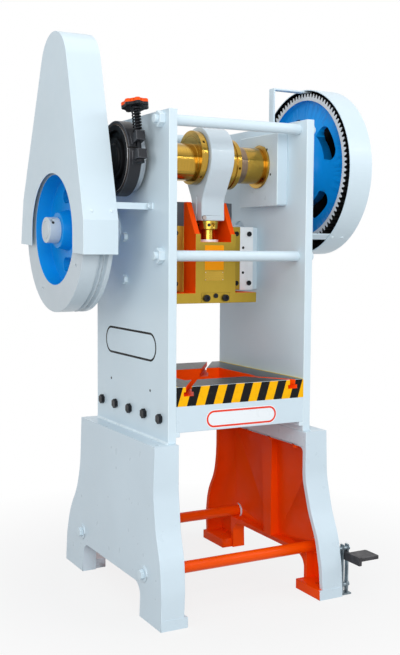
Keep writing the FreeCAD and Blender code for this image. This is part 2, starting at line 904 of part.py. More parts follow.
mesh_angle = -math.degrees(math.atan2(float(shaft_drop), float(shaft_back)))
lean = arc_tangent((S.leg_foot_out - S.leg_top_out) / S.plate_foot)
beam_low = S.plate_foot - S.leg_beam
rim_top = S.arch_top + S.arch_rim
nose_top = S.crank_z - root(S.sleeve_radius * S.sleeve_radius
                            - (S.latch_nose_y - S.crank_y) * (S.latch_nose_y - S.crank_y)) - S.latch_nose
sheet_radius = S.gear_guard_radius - S.sheet_thick
upper_strap_half = (S.upper_strap_rear - S.upper_strap_front) / 2
upper_strap_top = (S.gear_guard_z - S.strap_rest
                   + root(sheet_radius * sheet_radius - upper_strap_half * upper_strap_half))
lower_strap_reach = (root(sheet_radius * sheet_radius - S.lower_strap_half * S.lower_strap_half)
                     - S.strap_rest)
brake_bolt_x = (S.lug_out + S.shoe_in) / 2
lining_radius = S.drum_radius + S.lining_gap
shoe_bore = lining_radius + S.lining_thick


def leg_face(level):
    """How far out the outer face of a leg is at a level."""
    return S.leg_foot_out - (S.leg_foot_out - S.leg_top_out) / S.plate_foot * level


def side_levels(sign, inner, outer):
    """Two levels across X on one side, in rising order."""
    return (as_size(inner), as_size(outer)) if sign > 0 else (-as_size(outer), -as_size(inner))


def on_side(sign, value):
    return as_size(value) if sign > 0 else -as_size(value)


def brake_place(across, along):
    """A point of the leaning brake, in the frame's Y and Z."""
    tall = sine(S.brake_tilt)
    flat = cosine(S.brake_tilt)
    return (S.crank_y + across * flat + along * tall, S.crank_z - across * tall + along * flat)


def circle_places(centre, circle, copies, first):
    """Places round a circle in the plane of Y and Z."""
    places = []
    for step in range(int(copies)):
        angle = Size(first + FULL_TURN / copies * step)
        places.append((centre[0] + circle * cosine(angle), centre[1] + circle * sine(angle)))
    return places


HOUSING_BOLTS = 4
HOUSING_BOLT_ANGLE = 45.0
bed_bolt_places = [(S.bed_bolt_pitch * step, S.bed_bolt_level) for step in (-2, -1, 0, 1, 2)]
gib_side_places = [(S.gib_side_bolt_y, S.gib_low + S.gib_side_bolt_inset),
                   (S.gib_side_bolt_y, S.gib_high - S.gib_side_bolt_inset)]
leg_bolt_rows = [S.leg_bolt_pitch * step for step in (-1.5, -0.5, 0.5, 1.5)]
tie_places = [(S.tie_front, S.tie_upper_level), (S.tie_rear, S.tie_upper_level),
              (S.tie_front, S.tie_middle_level)]
leg_rod_places = [(S.leg_rod_front, S.leg_rod_level), (S.leg_rod_rear, S.leg_rod_level)]
housing_places = circle_places((S.shaft_y, shaft_z), S.housing_bolt_circle, HOUSING_BOLTS,
                               HOUSING_BOLT_ANGLE)
guard_strap_place = (S.guard_strap_tab_front + S.guard_strap_bolt,
                     S.guard_strap_low + S.guard_strap_tall / 2)
lower_strap_bolt = lower_strap_reach - S.lower_strap_tab + S.lower_strap_bolt
lower_strap_place = (S.crank_y - lower_strap_bolt * sine(S.lower_strap_angle),
                     S.gear_guard_z - lower_strap_bolt * cosine(S.lower_strap_angle))
trip_guide_places = [(S.trip_y - S.trip_guide_bolt, S.trip_guide_z),
                     (S.trip_y + S.trip_guide_bolt, S.trip_guide_z)]
anchor_place = brake_place(S.anchor_pin_y, ZERO)
strap_places = {"left": [guard_strap_place], "right": [lower_strap_place] + trip_guide_places}
stud_places = {"left": [anchor_place], "right": [(S.latch_pivot_y, S.latch_z)]}
keeper_levels = [S.gib_low + S.gib_bolt_inset, (S.gib_low + S.gib_high) / 2,
                 S.gib_high - S.gib_bolt_inset]


# ---------------------------------------------------------------- frame


def side_plate(side, sign):
    """A flat plate with bored seats for both shafts and a ledge under the bed."""
    body = new_body(side + "_side_plate")
    low, high = side_levels(sign, half_clear, plate_out)

    def outline(sketch):
        draw_box(sketch, -half_depth, S.plate_foot, half_depth, S.plate_head)
        draw_circle(sketch, S.crank_y, S.crank_z, S.bush_radius + S.seat_gap)
        draw_circle(sketch, S.shaft_y, shaft_z, S.housing_spigot_radius + S.seat_gap)
        for across, along in tie_places:
            draw_circle(sketch, across, along, S.tie_end_radius + S.seat_gap)
        for across, along in bed_bolt_places + gib_side_places:
            draw_circle(sketch, across, along, S.frame_bolt_radius + S.bolt_slack)

    pad(body, side + "_plate", "YZ_Plane", low, high, outline)
    ledge_low, ledge_high = side_levels(sign, half_clear - S.ledge_wide, half_clear)
    ledge = box_drawing(-half_depth, S.ledge_low, half_depth, S.bed_low)
    pad(body, side + "_ledge", "YZ_Plane", ledge_low, ledge_high, ledge)
    leg_holes = [(on_side(sign, S.leg_bolt_x), row) for row in leg_bolt_rows]
    pocket(body, side + "_leg_bolt_holes", "XY_Plane", S.plate_foot,
           beam_low + S.leg_bolt_grip, draw_holes(leg_holes, S.leg_bolt_radius + S.seat_gap))
    hole_low, hole_high = side_levels(
        sign, plate_out - S.small_bolt_grip + S.housing_flange, plate_out)
    small = draw_holes(housing_places + strap_places[side], S.small_bolt_radius + S.seat_gap)
    pocket(body, side + "_small_bolt_holes", "YZ_Plane", hole_low, hole_high, small)
    stud = draw_holes(stud_places[side], S.stud_radius + S.seat_gap)
    stud_low, stud_high = side_levels(sign, plate_out - S.stud_bite, plate_out)
    pocket(body, side + "_stud_hole", "YZ_Plane", stud_low, stud_high, stud)


def slot_drawing(width):
    """Four straight slots on the two diagonals of the bed, from the opening to the edges."""
    along_x = sine(S.slot_angle)
    along_y = cosine(S.slot_angle)

    def draw(sketch):
        for sign_x in (-1, 1):
            for sign_y in (-1, 1):
                corners = []
                for reach, side in ((S.slot_near, -1), (S.slot_far, -1), (S.slot_far, 1), (S.slot_near, 1)):
                    aside = width / 2 * side
                    corners.append(((reach * along_x + aside * along_y) * sign_x,
                                    (reach * along_y - aside * along_x) * sign_y))
                draw_loop(sketch, corners)
    return draw


def bed():
    """The bed casting: a deck with a scrap opening and T-slots, cored out from below."""
    body = new_body("bed")
    half_opening = S.opening_width / 2
    outside = box_drawing(-half_clear, -half_depth, half_clear, half_depth)
    pad(body, "bed_block", "XY_Plane", S.bed_low, S.bed_top, outside)
    opening = box_drawing(-half_opening, S.opening_front, half_opening, S.opening_rear)
    pocket(body, "scrap_opening", "XY_Plane", S.bed_low, S.bed_top, opening)

    def core(sketch):
        draw_box(sketch, -half_clear + S.bed_wall, -half_depth + S.bed_wall,
                 half_clear - S.bed_wall, half_depth - S.bed_wall)
        draw_box(sketch, -half_opening - S.opening_wall, S.opening_front - S.opening_wall,
                 half_opening + S.opening_wall, S.opening_rear + S.opening_wall)

    pocket(body, "bed_core", "XY_Plane", S.bed_low, S.bed_top - S.bed_deck, core)
    neck_floor = S.bed_top - S.slot_neck_deep
    head_floor = neck_floor - S.slot_head_deep
    pocket(body, "slot_necks", "XY_Plane", neck_floor, S.bed_top, slot_drawing(S.slot_neck))
    pocket(body, "slot_heads", "XY_Plane", head_floor, neck_floor, slot_drawing(S.slot_head))
    for side, sign in SIDES:
        low, high = side_levels(sign, half_clear - S.frame_bolt_bite, half_clear)
        holes = draw_holes(bed_bolt_places, S.frame_bolt_radius + S.seat_gap)
        pocket(body, side + "_bed_bolt_holes", "YZ_Plane", low, high, holes)


def leg_outline(inset, top, bottom):
    """The side view of a leg: straight at the top, then curving out to the feet."""
    rear = [(S.leg_half_depth - inset, top),
            (S.leg_half_depth - inset, S.leg_straight_rear),
            (S.leg_knee_rear - inset, S.leg_knee_level),
            (S.leg_shin_rear - inset, S.leg_shin_level),
            (S.leg_ankle_rear - inset, S.leg_ankle_level),
            (S.leg_toe_rear - inset, bottom)]
    front = [(inset - S.leg_toe_front, bottom),
             (inset - S.leg_ankle_front, S.leg_ankle_level),
             (inset - S.leg_shin_front, S.leg_shin_level),
             (inset - S.leg_knee_front, S.leg_knee_level),
             (inset - S.leg_half_depth, S.leg_straight_front),
             (inset - S.leg_half_depth, top)]
    return rear, front


def lean_cut(body, name, level, outward, draw):
    """A cut that starts at a plane leaning as the web does, and runs outward or inward."""
    sketch = new_sketch(body, name + "_sketch", "YZ_Plane", level)
    sketch.AttachmentOffset = FreeCAD.Placement(
        Vector(0, 0, float(level)), FreeCAD.Rotation(-SPINDLE, float(lean)))
    sketch.setExpression("AttachmentOffset.Rotation.Angle", lean.formula)
    draw(sketch)
    feature = finish_feature(body.newObject("PartDesign::Pocket", name), sketch, S.leg_foot_out)
    feature.Reversed = outward
    return feature


def right_leg():
    """A leg casting: a leaning web with flanges all round, a rib, feet and an arch."""
    body = new_body("right_leg")
    rear, front = leg_outline(ZERO, S.plate_foot, ZERO)
    block = pad(body, "leg_block", "YZ_Plane", S.leg_in, S.leg_blank_out, loop_drawing(rear + front))
    doc.recompute()
    bends = edges_along(block, "x", rear[1:-1] + front[1:-1])
    fillet(body, "leg_sweep", block, bends, S.leg_sweep)
    inner_rear, inner_front = leg_outline(S.leg_flange, beam_low, S.foot_tall)
    over_arch = [(S.arch_rear + S.arch_rim, S.foot_tall), (S.arch_rear + S.arch_rim, rim_top),
                 (S.arch_front - S.arch_rim, rim_top), (S.arch_front - S.arch_rim, S.foot_tall)]
    hollow = loop_drawing(inner_rear + over_arch + inner_front)
    cavity = lean_cut(body, "leg_hollow", S.leg_foot_out - S.leg_web, False, hollow)
    doc.recompute()
    inner_bends = edges_along(cavity, "x", inner_rear[1:-1] + inner_front[1:-1], LEAN_REACH)
    bent = fillet(body, "leg_hollow_sweep", cavity, inner_bends, S.leg_sweep)
    doc.recompute()
    upper_corners = edges_along(bent, "x", [inner_rear[0], inner_front[-1]], LEAN_REACH)
    fillet(body, "leg_hollow_corners", bent, upper_corners, S.leg_hollow_corner)
    slant = [(S.leg_in - S.leg_web, S.leg_edge_low), (S.leg_in, S.leg_edge_low),
             (S.leg_edge_foot, ZERO), (S.leg_in - S.leg_web, ZERO)]
    pocket(body, "leg_slant", "XZ_Plane", -S.leg_toe_front, S.leg_toe_rear, loop_drawing(slant))
    trim = box_drawing(S.arch_front - S.arch_rim, ZERO, S.arch_rear + S.arch_rim, rim_top)
    pocket(body, "leg_rim_trim", "YZ_Plane", S.leg_in, S.arch_rim_in, trim)

    def feet(sketch):
        draw_box(sketch, S.foot_in, -S.leg_toe_front, S.leg_blank_out, S.foot_front_toe)
        draw_box(sketch, S.foot_in, S.foot_rear_toe, S.leg_blank_out, S.leg_toe_rear)

    pad(body, "leg_feet", "XY_Plane", ZERO, S.foot_tall, feet)
    face = box_drawing(-S.plate_foot, -S.arch_top, S.plate_foot, S.plate_foot + S.arch_top)
    lean_cut(body, "leg_face", S.leg_foot_out, True, face)

    def arch(sketch):
        draw_round_box(sketch, S.arch_front, -S.arch_top, S.arch_rear, S.arch_top, S.arch_corner)

    pocket(body, "leg_arch", "YZ_Plane", S.leg_in, S.leg_blank_out, arch)
    rib = [(S.leg_rib_front, rim_top - S.arch_rim / 2), (S.leg_rib_rear, rim_top - S.arch_rim / 2),
           (S.leg_rib_top_rear, beam_low + S.arch_rim), (S.leg_rib_front, beam_low + S.arch_rim)]
    pad(body, "leg_rib", "YZ_Plane", S.leg_rib_in, S.leg_top_out, loop_drawing(rib))
    pad(body, "leg_bosses", "YZ_Plane", S.leg_boss_in, S.leg_boss_out,
        draw_holes(leg_rod_places, S.leg_boss_radius))
    pocket(body, "leg_rod_bolt_holes", "YZ_Plane", S.leg_boss_in, S.leg_boss_out,
           draw_holes(leg_rod_places, S.frame_bolt_radius + S.bolt_slack))
    leg_bolt_places = [(S.leg_bolt_x, row) for row in leg_bolt_rows]
    pocket(body, "leg_bolt_holes", "XY_Plane", beam_low, S.plate_foot,
           draw_holes(leg_bolt_places, S.leg_bolt_radius + S.bolt_slack))
    pocket(body, "leg_bolt_seats", "XY_Plane", beam_low - S.leg_flange, beam_low,
           draw_holes(leg_bolt_places, S.leg_seat_radius))
    pocket(body, "anchor_holes", "XY_Plane", ZERO, S.foot_tall,
           draw_holes([(S.anchor_x, S.anchor_y), (S.anchor_x, -S.anchor_y)], S.anchor_radius))
    return body


def stepped_rod(name, place, radius, half, end_radius, end_half):
    """A rod along X with a thinner end through each plate."""
    parts = []
    for suffix, size, reach in (("_shank", radius, half), ("_core", end_radius, end_half)):
        cylinder = doc.addObject("Part::Cylinder", name + suffix)
        cylinder.Placement = FreeCAD.Placement(ORIGIN, turned_to(LEFTWARD))
        bind_all(cylinder, Radius=size, Height=reach * 2)
        cylinder.setExpression("Placement.Base.x", reach.formula)
        parts.append(cylinder)
    rod = doc.addObject("Part::Fuse", name)
    rod.Base, rod.Tool = parts
    move_to(rod, (ZERO, place[0], place[1]))
    return rod


def hex_nut(name, place, direction, flats, thick, bore):
    outside = doc.addObject("Part::Prism", name + "_outside")
    outside.Polygon = HEXAGON
    bind_all(outside, Circumradius=flats / FLATS_TO_CORNER, Height=thick)
    hole = doc.addObject("Part::Cylinder", name + "_hole")
    bind_all(hole, Radius=bore, Height=thick)
    nut = doc.addObject("Part::Cut", name)
    nut.Base = outside
    nut.Tool = hole
    nut.Placement = FreeCAD.Placement(ORIGIN, turned_to(direction))
    move_to(nut, place)
    return nut


def tie_rods():
    end = plate_out + S.tie_end_out
    rods = []
    nuts = []
    for number, place in enumerate(tie_places, 1):
        rods.append(stepped_rod("plate_rod_" + str(number), place, S.tie_radius, half_clear,
                                S.tie_end_radius, end))
        for side, sign in SIDES:
            seat = (on_side(sign, plate_out), place[0], place[1])
            nuts.append(hex_nut("nut_" + side + "_" + str(number), seat, (sign, 0, 0), S.tie_nut_flats,
                                S.tie_nut_thick, S.tie_end_radius + S.seat_gap))
    group("plate_tie_rods", rods)
    group("tie_rod_nuts", nuts)


def leg_tie_rods():
    """Two rods along X between the legs, tapped at both ends."""
    rods = []
    bite = S.leg_rod_bolt_grip - (S.leg_boss_out - S.leg_boss_in)
    for name, place in zip(("front_leg_rod", "rear_leg_rod"), leg_rod_places):
        body = new_body(name, (ZERO, place[0], place[1]), listed=False)
        pad(body, name + "_bar", "YZ_Plane", -S.leg_boss_in, S.leg_boss_in, circle_drawing(S.leg_rod_radius))
        for side, sign in SIDES:
            low, high = side_levels(sign, S.leg_boss_in - bite, S.leg_boss_in)
            pocket(body, name + "_" + side + "_tapping", "YZ_Plane", low, high,
                   circle_drawing(S.frame_bolt_radius + S.seat_gap))
        rods.append(body)
    group("leg_tie_rods", rods)


def frame_bolts():
    """Hex bolts: five through each plate into the bed, two into each gib, and the leg bolts."""
    bolts = []
    grip = S.plate_thick + S.frame_bolt_bite
    for side, sign in SIDES:
        outward = (sign, 0, 0)
        for number, place in enumerate(bed_bolt_places + gib_side_places, 1):
            seat = (on_side(sign, plate_out), place[0], place[1])
            bolts.append(fastener(side + "_bolt_" + str(number), seat, outward, S.frame_bolt_flats,
                                  S.frame_bolt_head, S.frame_bolt_radius, grip))
        for number, place in enumerate(leg_rod_places, 1):
            seat = (on_side(sign, S.leg_boss_out), place[0], place[1])
            bolts.append(fastener(side + "_rod_bolt_" + str(number), seat, outward, S.frame_bolt_flats,
                                  S.frame_bolt_head, S.frame_bolt_radius, S.leg_rod_bolt_grip))
        for number, row in enumerate(leg_bolt_rows, 1):
            seat = (on_side(sign, S.leg_bolt_x), row, beam_low)
            bolts.append(fastener(side + "_leg_bolt_" + str(number), seat, DOWNWARD, S.leg_bolt_flats,
                                  S.frame_bolt_head, S.leg_bolt_radius, S.leg_bolt_grip))
    group("frame_bolts", bolts)


def small_bolts():
    """Like hex bolts that hold the shaft housings, the guard straps and the trip rod guide."""
    seats = []
    for side, sign in SIDES:
        outward = (sign, 0, 0)
        for place in housing_places:
            seats.append((on_side(sign, plate_out + S.housing_flange), place, outward))
        for place in strap_places[side]:
            thick = S.trip_guide_foot if place in trip_guide_places else S.strap_thick
            seats.append((on_side(sign, plate_out + thick), place, outward))
    bolts = []
    for number, (level, place, outward) in enumerate(seats, 1):
        name = "small_bolt_" + str(number)
        at_housing = place in housing_places
        grip = S.small_bolt_grip if at_housing else S.strap_bolt_grip
        bolts.append(fastener(name, (level, place[0], place[1]), outward, S.small_bolt_flats,
                              S.small_bolt_head, S.small_bolt_radius, grip))
    group("small_bolts", bolts)


# ---------------------------------------------------------------- bearings and gibs


def bearing_block():
    """A block on the plate's inner face that backs the bronze bush."""
    body = new_body("right_bearing_block")

    def outline(sketch):
        draw_box(sketch, S.block_front, S.block_low, S.block_rear, S.block_high)
        draw_circle(sketch, S.crank_y, S.crank_z, S.bush_radius + S.seat_gap)

    block = pad(body, "bearing_block", "YZ_Plane", S.block_in, half_clear, outline)
    doc.recompute()
    corners = [(at_y, at_z) for at_y in (S.block_front, S.block_rear) for at_z in (S.block_low, S.block_high)]
    fillet(body, "block_corners", block, edges_along(block, "x", corners), S.block_corner)
    return body


def main_bush():
    """A flanged bronze bush from the block's face to just past the plate."""
    body = new_body("right_main_bush", crank_line)
    bore = S.journal_radius + S.running_gap
    flange_in = S.block_in - S.bush_flange
    turn(body, "bush", [(flange_in, bore), (S.bush_out, bore), (S.bush_out, S.bush_radius),
                        (S.block_in, S.bush_radius), (S.block_in, S.bush_flange_radius),
                        (flange_in, S.bush_flange_radius)])
    reach = S.bush_flange_radius
    pocket(body, "bush_flat", "YZ_Plane", flange_in, S.block_in,
           box_drawing(-reach, S.bush_flat_level, reach, reach))
    return body


def shaft_housing():
    """A flanged bearing housing on the plate's outer face, with a spigot in the plate."""
    body = new_body("right_shaft_housing", shaft_line)
    bore = S.shaft_radius + S.running_gap
    flange_out = plate_out + S.housing_flange
    inner = half_clear + S.bush_flange
    turn(body, "housing", [(inner, bore), (S.housing_out, bore), (S.housing_out, S.housing_hub_radius),
                           (flange_out, S.housing_hub_radius), (flange_out, S.housing_flange_radius),
                           (plate_out, S.housing_flange_radius), (plate_out, S.housing_spigot_radius),
                           (inner, S.housing_spigot_radius)])
    places = circle_places((ZERO, ZERO), S.housing_bolt_circle, HOUSING_BOLTS, HOUSING_BOLT_ANGLE)
    pocket(body, "housing_holes", "YZ_Plane", plate_out, flange_out,
           draw_holes(places, S.small_bolt_radius + S.bolt_slack))
    return body


def gib_bracket():
    """The fixed guide: a block beside the ram's tongue on a foot bolted to the plate."""
    body = new_body("right_gib_bracket")
    plan = [(S.gib_keeper_out, S.gib_front), (S.gib_block_out, S.gib_front),
            (S.gib_block_out, S.gib_foot_front), (half_clear, S.gib_foot_front),
            (half_clear, S.gib_back), (S.gib_slide_in, S.gib_back),
            (S.gib_slide_in, S.ram_rear + S.slide_gap),
            (S.tongue_half + S.slide_gap, S.ram_rear + S.slide_gap),
            (S.tongue_half + S.slide_gap, S.tongue_front), (S.gib_keeper_out, S.tongue_front)]
    pad(body, "gib_block", "XY_Plane", S.gib_low, S.gib_high, loop_drawing(plan))
    screw_end = S.gib_front + S.gib_screw_grip
    keeper = draw_holes([(S.gib_bolt_x, level) for level in keeper_levels],
                        S.gib_screw_radius + S.seat_gap)
    pocket(body, "keeper_tappings", "XZ_Plane", S.tongue_front, screw_end, keeper)
    front = draw_holes([(S.gib_black_bolt_x, level) for level in keeper_levels[::2]],
                       S.gib_screw_radius + S.seat_gap)
    pocket(body, "front_tappings", "XZ_Plane", S.gib_front, screw_end, front)
    side = draw_holes(gib_side_places, S.frame_bolt_radius + S.seat_gap)
    pocket(body, "side_tappings", "YZ_Plane", half_clear - S.frame_bolt_bite, half_clear, side)
    return body


def gib_keeper():
    """The flat plate that closes the guide in front of the ram's tongue."""
    body = new_body("right_gib_keeper")
    plan = box_drawing(S.gib_slide_in, S.gib_front, S.gib_keeper_out, S.tongue_front)
    pad(body, "keeper", "XY_Plane", S.gib_low, S.gib_high, plan)
    holes = draw_holes([(S.gib_bolt_x, level) for level in keeper_levels],
                       S.gib_screw_radius + S.bolt_slack)
    pocket(body, "keeper_holes", "XZ_Plane", S.gib_front, S.tongue_front, holes)
    return body


def gib_bolts():
    places = []
    for side, sign in SIDES:
        for level in keeper_levels:
            places.append(((on_side(sign, S.gib_bolt_x), S.gib_front, level), FORWARD))
        for level in keeper_levels[::2]:
            places.append(((on_side(sign, S.gib_black_bolt_x), S.gib_front, level), FORWARD))
    fastener_group("gib_bolts", places, head=S.gib_screw_head_radius, head_tall=S.gib_screw_head,
                   radius=S.gib_screw_radius, grip=S.gib_screw_grip, hexagon=False)


# ---------------------------------------------------------------- crank


def crankshaft():
    """One forging: two journals, an eccentric pin between them and two turned ends."""
    body = new_body("crankshaft", crank_line)
    end = S.crank_end_radius
    small = end - S.crank_chamfer
    turn(body, "crank_turning", [
        (S.crank_left_end, ZERO), (S.crank_left_end, small), (S.crank_left_end + S.crank_chamfer, end),
        (S.crank_left_step, end), (S.crank_left_step, S.journal_radius), (S.pin_left, S.journal_radius),
        (S.pin_left, end), (S.shaft_ring_left, end), (S.shaft_ring_left, S.journal_radius),
        (S.crank_right_step, S.journal_radius), (S.crank_right_step, end),
        (S.crank_right_end - S.crank_chamfer, end), (S.crank_right_end, small), (S.crank_right_end, ZERO)])
    pad(body, "crank_pin", "YZ_Plane", S.pin_left, S.shaft_ring_left,
        circle_drawing(S.pin_radius, ZERO, S.crank_throw))
    key_half = S.key_wide / 2
    key_low = end - S.key_tall / 2
    outline = box_drawing(-key_half, key_low, key_half, key_low + S.key_tall)
    pad(body, "drum_key", "YZ_Plane", S.drum_out, S.drum_in, outline)
    pad(body, "clutch_key", "YZ_Plane", S.sleeve_left, S.sleeve_right, outline)


def keyway(body, name, low, high, shaft_radius):
    """A keyway in a bore, a little wider and deeper than the key on the shaft."""
    half = S.key_wide / 2 + S.seat_gap
    top = shaft_radius + S.key_tall / 2 + S.seat_gap
    floor = shaft_radius - S.key_tall / 2
    pocket(body, name, "YZ_Plane", low, high, box_drawing(-half, floor, half, top))


def crank_ring(name, line, left, right, bore, outer, turned, holes_at):
    """A ring beside the connecting rod, with three holes round it for a bar."""
    body = new_body(name, line, turned)
    turn(body, name + "_turning", ring_profile(left, right, bore + S.seat_gap, outer))
    hole = pocket(body, name + "_hole", "XY_Plane", outer - S.ring_hole_deep, outer,
                  circle_drawing(S.ring_hole_radius, holes_at, ZERO))
    polar(body, name + "_holes", hole, RING_HOLES, RING_HOLE_ANGLE)
    return body


def crank_rings():
    """The ring on the eccentric pin and the grooved ring on the shaft."""
    crank_ring("pin_ring", pin_line, S.pin_left, S.pin_ring_right, S.pin_radius, S.pin_ring_radius,
               S.pin_ring_turn, (S.pin_left + S.pin_ring_right) / 2)
    groove_right = S.ring_groove_x + S.ring_groove_wide
    ring = crank_ring("shaft_ring", crank_line, S.shaft_ring_left, S.shaft_ring_right, S.journal_radius,
                      S.shaft_ring_radius, S.shaft_ring_turn, (groove_right + S.shaft_ring_right) / 2)
    turn(ring, "ring_groove", ring_profile(S.ring_groove_x, groove_right,
                                           S.shaft_ring_radius - S.ring_groove_deep, S.shaft_ring_radius),
         "PartDesign::Groove")


def brake_drum():
    """The drum keyed to the crank's left end, dished on its outer side."""
    body = new_body("brake_drum", crank_line)
    bore = S.crank_end_radius + S.seat_gap
    inner_rim = S.drum_radius - S.drum_rim
    turn(body, "drum", [(S.drum_out, bore), (S.drum_in, bore), (S.drum_in, S.drum_radius),
                        (S.drum_out, S.drum_radius), (S.drum_out, inner_rim),
                        (S.drum_out + S.drum_recess, inner_rim),
                        (S.drum_out + S.drum_recess, S.drum_hub_radius), (S.drum_out, S.drum_hub_radius)])
    keyway(body, "drum_keyway", S.drum_out, S.drum_in, S.crank_end_radius)


def clutch_sleeve():
    """The clutch ring keyed to the crank beside the gear's hub."""
    body = new_body("clutch_sleeve", crank_line)
    bore = S.crank_end_radius + S.seat_gap
    turn(body, "sleeve", ring_profile(S.sleeve_left, S.sleeve_right, bore, S.sleeve_radius))
    keyway(body, "sleeve_keyway", S.sleeve_left, S.sleeve_right, S.crank_end_radius)


def gear_retainer():
    """The plate on the crank's end that keeps the gear on, with its three bolts fused to it."""
    body = new_body("gear_retainer", crank_line)
    right = S.crank_right_end + S.retainer_thick
    turn(body, "retainer", [(S.crank_right_end, ZERO), (S.crank_right_end, S.retainer_radius),
                            (right, S.retainer_radius), (right, ZERO)])
    places = circle_places((ZERO, ZERO), S.retainer_bolt_circle, RETAINER_BOLTS, HOUSING_BOLT_ANGLE)
    pad(body, "retainer_bolt_heads", "YZ_Plane", right, right + S.retainer_bolt_head,
        draw_holes(places, S.retainer_bolt_radius))


# ---------------------------------------------------------------- connecting rod


def conrod():
    """A big eye on the pin, a shoulder narrowing to a split neck that clamps the ball screw."""
    body = new_body("conrod", (ZERO, S.crank_y, ZERO))
    half = S.conrod_half
    pad(body, "eye", "YZ_Plane", -half, half, circle_drawing(S.conrod_eye_radius, ZERO, pin_z))
    neck = S.conrod_neck_half
    shoulder = S.conrod_shoulder_half
    foot = S.conrod_foot_half
    levels = (S.conrod_shoulder_level, S.conrod_neck_level, S.conrod_waist_level, S.conrod_foot_level,
              S.conrod_low)
    side = list(zip((shoulder, neck, neck, foot, foot), levels))
    outline = [(-across, level) for across, level in side] + side[::-1]
    shank = pad(body, "shank", "YZ_Plane", -half, half, loop_drawing(outline))
    doc.recompute()
    bends = edges_along(shank, "x", [(-neck, S.conrod_neck_level), (neck, S.conrod_neck_level)])
    fillet(body, "neck_sweep", shank, bends, S.conrod_neck_sweep)
    pocket(body, "eye_bore", "YZ_Plane", -half, half,
           circle_drawing(S.conrod_bush_radius + S.seat_gap, ZERO, pin_z))
    pocket(body, "screw_bore", "XY_Plane", S.conrod_low, S.screw_top + S.screw_room,
           circle_drawing(S.screw_radius + S.screw_gap))
    split = S.conrod_split / 2
    pocket(body, "clamp_split", "YZ_Plane", -half, ZERO,
           box_drawing(-split, S.conrod_low, split, S.conrod_split_top))
    pocket(body, "pinch_hole", "XZ_Plane", -foot, foot,
           circle_drawing(S.pinch_radius + S.seat_gap, S.pinch_x, S.pinch_level))


def conrod_bush():
    body = new_body("conrod_bush", pin_line)
    reach = S.conrod_half + S.conrod_bush_over
    turn(body, "rod_bush", ring_profile(-reach, reach, S.pin_radius + S.running_gap,
                                        S.conrod_bush_radius))


def ball_screw():
    """The adjusting screw with a ball on its lower end."""
    stem = doc.addObject("Part::Cylinder", "screw_stem")
    bind_all(stem, Radius=S.screw_radius, Height=S.screw_top - S.ball_z)
    ball = doc.addObject("Part::Sphere", "screw_ball")
    bind_all(ball, Radius=S.ball_radius)
    screw = doc.addObject("Part::Fuse", "ball_screw")
    screw.Label = "ball_screw"
    screw.Base = stem
    screw.Tool = ball
    move_to(screw, (ZERO, S.crank_y, S.ball_z))
    SUBPARTS.append(screw)


def lock_collar():
    """The round lock nut under the rod, with four holes for a bar."""
    body = new_body("lock_collar", (ZERO, S.crank_y, ZERO))
    low = S.conrod_low - S.collar_tall
    turn(body, "collar", ring_profile(low, S.conrod_low, S.screw_radius + S.screw_gap, S.collar_radius),
         axis="Z_Axis")
    hole = pocket(body, "bar_hole", "XZ_Plane", -S.collar_radius, S.collar_hole_deep - S.collar_radius,
                  circle_drawing(S.collar_hole_radius, ZERO, (low + S.conrod_low) / 2))
    polar(body, "bar_holes", hole, BAR_HOLES, axis="Z_Axis")


def pinch_bolt():
    """The screw through the rod's foot that closes the split on the ball screw."""
    front = (S.pinch_x, S.crank_y - S.conrod_foot_half, S.pinch_level)
    fastener_group("pinch_bolt", [(front, FORWARD)], head=S.pinch_head_radius, head_tall=S.pinch_head,
                   radius=S.pinch_radius, grip=S.conrod_foot_half * 2, hexagon=False)


# ---------------------------------------------------------------- ram


def ram():
    """The slide: a flange under a nose that holds the ball, and a tongue that runs in the gibs."""
    body = new_body("ram")
    face = S.tongue_front + S.slide_gap
    pad(body, "ram_flange", "XY_Plane", S.ram_low, S.ram_flange_top,
        box_drawing(-S.ram_half, S.ram_front, S.ram_half, S.ram_rear))
    pad(body, "ram_nose", "XY_Plane", S.ram_flange_top, S.nose_floor,
        box_drawing(-S.nose_half, S.ram_front, S.nose_half, face))
    pad(body, "ram_tongue", "XY_Plane", S.ram_flange_top, S.ram_top,
        box_drawing(-S.tongue_half, face, S.tongue_half, S.ram_rear))
    fin = [(S.ram_front, S.nose_floor), (face, S.nose_floor), (face, S.ram_top),
           (S.fin_top_front, S.ram_top), (S.ram_front + S.horn_flat, S.horn_top), (S.ram_front, S.horn_top)]
    for side, sign in SIDES:
        low, high = side_levels(sign, S.notch_half, S.nose_half)
        pad(body, side + "_fin", "YZ_Plane", low, high, loop_drawing(fin))
    pocket(body, "ram_recess", "XY_Plane", S.nose_floor, S.ram_top,
           box_drawing(-S.notch_half, face, S.notch_half, S.ram_pocket_rear))
    cup = S.ball_radius + S.ball_room

    def socket(sketch):
        draw_slot(sketch, ZERO, S.crank_y, ZERO, S.crank_y + S.crank_throw, cup)

    floor = S.ball_z - S.ball_radius - S.ball_floor_room
    pocket(body, "ball_socket", "XY_Plane", floor, S.nose_floor, socket)
    pocket(body, "shank_bore", "XY_Plane", S.ram_low, S.ram_low + S.ram_bore_deep,
           circle_drawing(S.ram_bore_radius, ZERO, S.ram_bore_y))
    pocket(body, "clamp_seat", "XY_Plane", S.ram_low, S.ram_flange_top,
           box_drawing(-S.clamp_half, S.ram_front, S.clamp_half, S.ram_bore_y))
    holes = draw_holes([(S.clamp_bolt_x, S.clamp_bolt_z), (-S.clamp_bolt_x, S.clamp_bolt_z)],
                       S.clamp_bolt_radius + S.seat_gap)
    pocket(body, "clamp_tappings", "XZ_Plane", S.ram_bore_y, S.ram_front + S.clamp_bolt_grip, holes)


